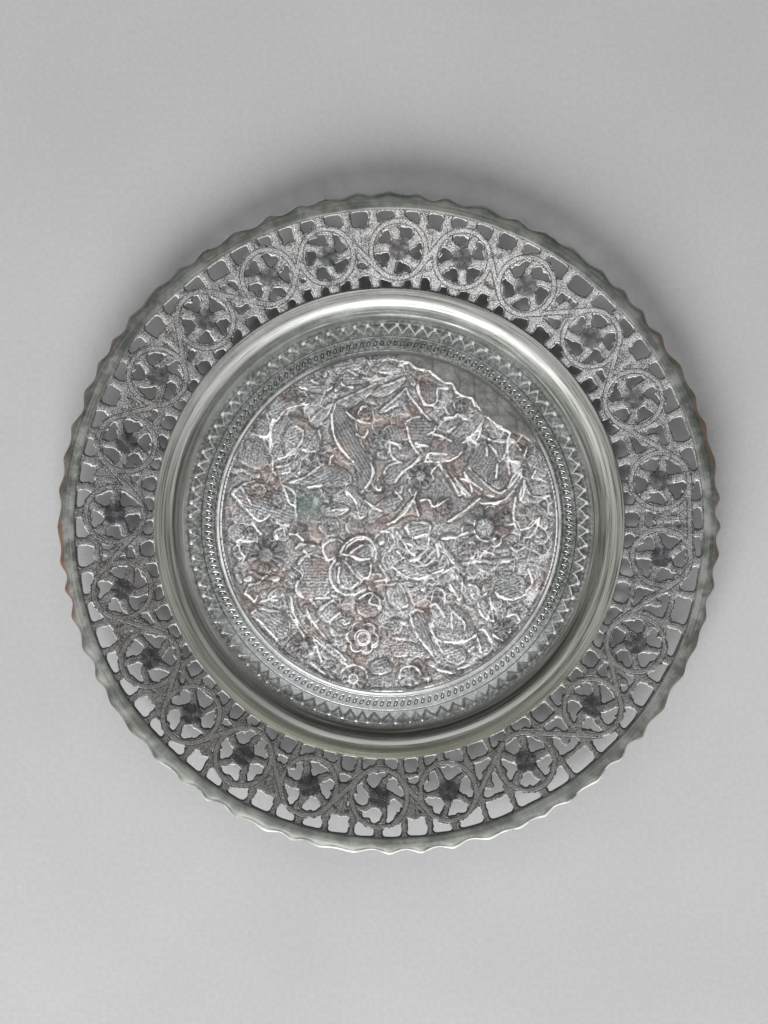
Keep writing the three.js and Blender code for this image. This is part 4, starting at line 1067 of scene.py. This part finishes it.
material, shader, place = new_finish("engraved_tinned_gallery")
north = round_the_tray(place)[4]
mottle = place.noise(160, 5, 0.7)
stains = place.noise(34, 4, 0.6)
hatch_noise = place.noise(1900, 3, 0.65)
low_side = north.rise(-0.1, -0.7)
depth, band = place.attribute("depth"), place.attribute("band")
seat_x, seat_y, face = place.attribute("seat", "Vector").split()
from_flower = (seat_x * seat_x + seat_y * seat_y).maths("SQRT")
petals = seat_y.maths("ARCTAN2", seat_x) * (5 / (2 * math.pi))
petal_gap = (petals + 0.5).maths("PINGPONG", 0.5).rise(0.12, 0.02)
flower = (from_flower + hatch_noise * 0.7 + mottle * 0.5).rise(1.66, 1.4)
rays = (petals * 9).maths("PINGPONG", 0.5).rise(0.16, 0.36)
boss = from_flower.rise(0.3, 0.22)
strap = band.rise(1.25, 0.95) * (1 - flower)
engraved = band.off(1.2).rise(0.36, 0.1) * (1 - flower)
engraved = (engraved + depth.off(0.5).rise(0.3, 0.08) * 0.35).maths("MINIMUM", 1)
# Painted highlights on the hole edges that face the light
lit_side = place.attribute("lit_side").rise(0.05, 0.55)
edge_glint = depth.rise(0.55, 0.15) * hatch_noise.rise(0.36, 0.5) * (stains.rise(0.34, 0.52) * 0.7 + 0.3) * lit_side
dots = place.node("ShaderNodeTexVoronoi", {"Vector": place, "Scale": 130, "Randomness": 0.9})
dots = dots.off(0.13).rise(0.06, 0.02) * depth.rise(0.7, 1.1) * (1 - flower)
veins = (place.noise(300, 2, 0.5) * 14).maths("PINGPONG", 0.5).rise(0.1, 0.35)
dark_flower = (rays * 0.5 + petal_gap * 0.3).blend((0.05, 0.054, 0.064), (0.17, 0.176, 0.19))
dark_flower = (boss * 0.5).blend(dark_flower, (0.3, 0.3, 0.3))
tin = (mottle * 0.5 + hatch_noise * 0.5).rise(0.36, 0.64).blend((0.1, 0.103, 0.104), (0.42, 0.42, 0.415))
colour = layered(tin, [
    (stains.rise(0.5, 0.7) * 0.6, (0.3, 0.215, 0.18)),
    ((1 - veins) * depth.rise(0.7, 1.2) * 0.4, (0.08, 0.085, 0.085)),
    # Dark flowers, darker towards the bottom of the picture: painted shade
    (flower * mottle.rise(0.66, 0.5) * (north.rise(0.9, -0.2) * 0.35 + 0.6), dark_flower),
    ((engraved + dots * 0.45).maths("MINIMUM", 1) * 0.85, (0.035, 0.037, 0.038)),
    (mottle.rise(0.5, 0.36) * 0.5, (0.06, 0.064, 0.06)),
    # Straps painted lighter towards the bottom of the picture, the side facing the light
    (strap * (0.1 + low_side * 0.25), (0.4, 0.405, 0.4)),
    (hatch_noise.rise(0.5, 0.6) * (1 - flower) * 0.58, (0.72, 0.72, 0.71)),
    (hatch_noise.rise(0.47, 0.38) * 0.5, (0.05, 0.053, 0.05)),
    # Towards the bottom of the picture the tin is painted darker olive and the flowers darker: painted shade
    (low_side * 0.3, (0.21, 0.205, 0.165)),
    (flower * (low_side * 0.5 + 0.2) * hatch_noise.rise(0.62, 0.45), (0.04, 0.043, 0.052)),
    # Underside and the sawn walls of the holes darker
    ((1 - face) * 0.75, (0.07, 0.062, 0.055)),
    # Painted shade on the hole edges that face away from the light, heavier towards the bottom of the picture
    (depth.rise(0.7, 0.2) * (low_side * 0.4 + 0.4) * (1 - lit_side), (0.04, 0.042, 0.042)),
    # Painted highlights on the hole edges
    (edge_glint * 0.85, (0.97, 0.965, 0.95)),
])
height = mottle * 0.3 + hatch_noise * 0.15 + depth.rise(0.05, 0.7) * 2.2 - engraved * 1.2 - dots * 0.8
height = height - petal_gap * flower * 0.8 + rays * flower * 0.4
dress(shader, colour, 0.45 + mottle * 0.2, height, 0.7, 0.45 - edge_glint * 0.4)
gallery.data.materials.append(material)
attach(gallery, "root")
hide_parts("gallery")


# RIM
# A strip of sheet folded over the gallery's hem, its lip cut and hammered into scallops.
# Grey-green patina covers it, rubbed through to brown copper along the lip.

RIM_RADIUS = 165.0
FOLD_RADIUS = 160.2
SCALLOPS = 64
rim_section = [(156.0, 0.95), (156.0, 1.35), (156.35, 1.68), (157.2, 1.79), (158.8, 1.8), (160.3, 1.7), (161.6, 1.42),
               (162.7, 1.0), (163.6, 0.5), (164.3, 0.0), (164.8, -0.5), (165.0, -0.95), (165.0, -1.5), (164.7, -1.95),
               (164.1, -2.15), (163.0, -2.1), (161.6, -1.95), (160.3, -1.8), (158.1, -1.75), (158.05, -0.95),
               (160.25, -0.95), (160.25, 0.95)]
rim = laid_down("scalloped_rim_strip", spun([(r, z + HEM_HEIGHT) for r, z in rim_section], SCALLOPS * 8), 50)
rim_points = points_of(rim.data)
rim_angle = np.arctan2(rim_points[:, 1], rim_points[:, 0])
rim_radius = np.hypot(rim_points[:, 0], rim_points[:, 1])
lip = ramp(rim_radius, FOLD_RADIUS, RIM_RADIUS)
# Scallops, none quite like the next
rim_turn = rim_angle + 0.012 * np.sin(7 * rim_angle + 1) + 0.008 * np.sin(17 * rim_angle)
wave = 0.55 * np.cos(SCALLOPS * rim_turn) + 0.45 * (1 - 2 * np.abs(np.sin(SCALLOPS / 2 * rim_turn)))
uneven = 1 + 0.3 * np.sin(9 * rim_angle + 2) + 0.25 * np.sin(23 * rim_angle + 0.5)
drawn_in = lip * (1.9 * uneven * (1 - wave) / 2 + 0.25 * (1 - np.sin(5 * rim_angle + 0.3)))
rim_points[:, :2] *= ((rim_radius - drawn_in) / rim_radius)[:, None]
rim_points[:, 2] += lip * (0.55 * wave * uneven / 1.55) - 0.12 * (1 - lip) * (1 + np.sin(11 * rim_angle)) * (
    rim_points[:, 2] > HEM_HEIGHT + 1)
move_points(rim.data, rim_points)
store(rim.data, "lip", lip)
store(rim.data, "wave", wave)

material, shader, place = new_finish("patinated_rim")
_, turns, streaks, east, north = round_the_tray(place)
scratches = streaks.noise(1.0, 5, 0.7)
mottle = place.noise(90, 5, 0.65)
patches = place.noise(18, 3, 0.5)
lip, wave = place.attribute("lip"), place.attribute("wave")
low_side, high_side = north.rise(-0.2, -0.8), north.rise(0.2, 0.8)
aside = east.off(0).rise(0.6, 0.85)
right_copper = (turns * 360).off(24).rise(19, 9)
left_copper = (turns * 360).off(-173).rise(18, 8)
copper_sides = (right_copper + left_copper).maths("MAXIMUM", aside * 0.3)
rubbed = (lip + wave * 0.08 + mottle * 0.5).rise(0.45, 0.85) * patches.rise(0.3, 0.46) * copper_sides
# Painted glints along the lip's edge, at the top and bottom of the picture, fewer at the top; the metal is made less
# metallic under them
lip_glint = (lip + mottle * 0.2).rise(0.9, 1.04) * (1 - aside) * mottle.rise(0.3, 0.5)
lip_glint = lip_glint * (1 - high_side * 0.4) * (patches.rise(0.42, 0.52) * 0.6 + 0.4)
colour = layered(mottle.rise(0.34, 0.66).blend((0.125, 0.136, 0.118), (0.4, 0.41, 0.38)), [
    (place.noise(38, 4, 0.7).rise(0.54, 0.64) * 0.6, (0.085, 0.095, 0.1)),
    (scratches.rise(0.5, 0.68) * 0.6, (0.48, 0.48, 0.445)),
    (scratches.rise(0.47, 0.32) * 0.65, (0.075, 0.08, 0.066)),
    (rubbed * 0.9, (0.31, 0.195, 0.135)),
    # Painted shade and dark reflection: darker at the top and bottom of the picture
    (low_side * 0.5 + high_side * 0.4, (0.13, 0.138, 0.12)),
    (lip_glint * 0.9, (0.92, 0.92, 0.89)),
])
dress(shader, colour, 0.42 + mottle * 0.2, scratches * 0.5 + mottle * 0.3, 0.5, 0.6 - lip_glint * 0.5)
rim.data.materials.append(material)
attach(rim, "root")
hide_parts("scalloped_rim")


# SOLDER
# Three runs of tin solder: round the chased disc, in the pocket under the ledge, and under the rim's folded leg.
# Each is drawn in with an iron, so it is smooth and a little uneven.

material, shader, place = new_finish("tin_solder")
flow = place.noise(120, 4, 0.6)
turns = round_the_tray(place)[1]
# Near-white and barely metallic: the bright tin with a painted highlight; at the top and bottom of the picture it is
# turned dark and more metallic, painted shade
shade_at_top, shade_at_bottom = (turns * 360).off(72).rise(46, 38), (turns * 360).off(-95).rise(75, 45)
solder_shade = shade_at_top.maths("MAXIMUM", shade_at_bottom * 0.6)
colour = flow.rise(0.3, 0.6).blend((0.62, 0.622, 0.61), (0.95, 0.95, 0.94))
colour = (solder_shade * 0.8).blend(colour, (0.22, 0.228, 0.205))
dress(shader, colour, 0.36 + flow * 0.3, flow, 0.5, 0.15 + solder_shade * 0.5)
lap_top = ledge_height(113.2) - SHEET / 2 / math.cos(math.atan(LEDGE_FALL)) - 0.32
lap_low = float(gallery_height(np.array(LAP_START))) - SHEET / 2
fillets = {
    "medallion_solder": [(85.95, 1.21), (87.05, 1.21), (86.75, 1.4), (86.4, 1.65), (86.15, 1.9), (85.95, 1.97)],
    "gallery_solder": [(110.5, lap_low), (113.15, lap_low), (113.15, lap_top), (112.1, lap_top),
                       (111.3, lap_top - 0.4)],
    "rim_solder": [(156.6, HEM_HEIGHT - 0.92), (157.3, HEM_HEIGHT - 1.3), (157.65, HEM_HEIGHT - 2.0),
                   (157.65, HEM_HEIGHT - 0.92)],
}
for node, section in fillets.items():
    fillet = laid_down(node + "_run", spun(section, 360), 60)
    run_points = points_of(fillet.data)
    run_angle = np.arctan2(run_points[:, 1], run_points[:, 0])
    run_points[:, 2] += 0.03 * np.sin(37 * run_angle) * np.sin(53 * run_angle + 1) * (run_points[:, 2] > 1.3)
    move_points(fillet.data, run_points)
    fillet.data.materials.append(material)
    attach(fillet, "root")
    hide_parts(node)


# STAGE
# A plain pale floor under the tray, soft window-like light from below the picture, and a camera straight above.

floor_shape = bmesh.new()
bmesh.ops.create_grid(floor_shape, x_segments=4, y_segments=4, size=3)
floor = laid_down("floor", floor_shape)
material, shader, place = new_finish("pale_floor")
speckle = place.noise(420, 4, 0.7)
cloud = place.noise(7, 3, 0.5)
shade = speckle * 0.55 + cloud * 0.45
colour = shade.rise(0.25, 0.75).blend((0.50, 0.50, 0.505), (0.60, 0.60, 0.605))
material.node_tree.links.new(colour.socket, shader.inputs["Base Color"])
shader.inputs["Roughness"].default_value = 0.7
floor.data.materials.append(material)


def soft_light(name, watts, place):
    """A round soft light that faces the tray."""
    lamp = bpy.data.lights.new(name, "AREA")
    lamp.shape = "DISK"
    lamp.size = 2.4
    lamp.energy = watts
    light = bpy.data.objects.new(name, lamp)
    light.location = place
    light.rotation_euler = light.location.to_track_quat("Z", "Y").to_euler()
    bpy.context.scene.collection.objects.link(light)


soft_light("window", 115, Vector((-0.6, -2.31, 1.818)))
soft_light("ceiling", 12, Vector((0, 1.8, 2.4)))

world = bpy.data.worlds.new("room")
world.use_nodes = True
world.node_tree.nodes["Background"].inputs["Color"].default_value = (0.97, 0.98, 1, 1)
world.node_tree.nodes["Background"].inputs["Strength"].default_value = 0.18
bpy.context.scene.world = world

lens = bpy.data.cameras.new("camera")
lens.lens = 84
lens.sensor_width = 36
camera = bpy.data.objects.new("camera", lens)
camera.location = (-0.0025, 0.00575, 1.21)
bpy.context.scene.collection.objects.link(camera)
bpy.context.scene.camera = camera
bpy.context.scene.view_settings.view_transform = "Standard"
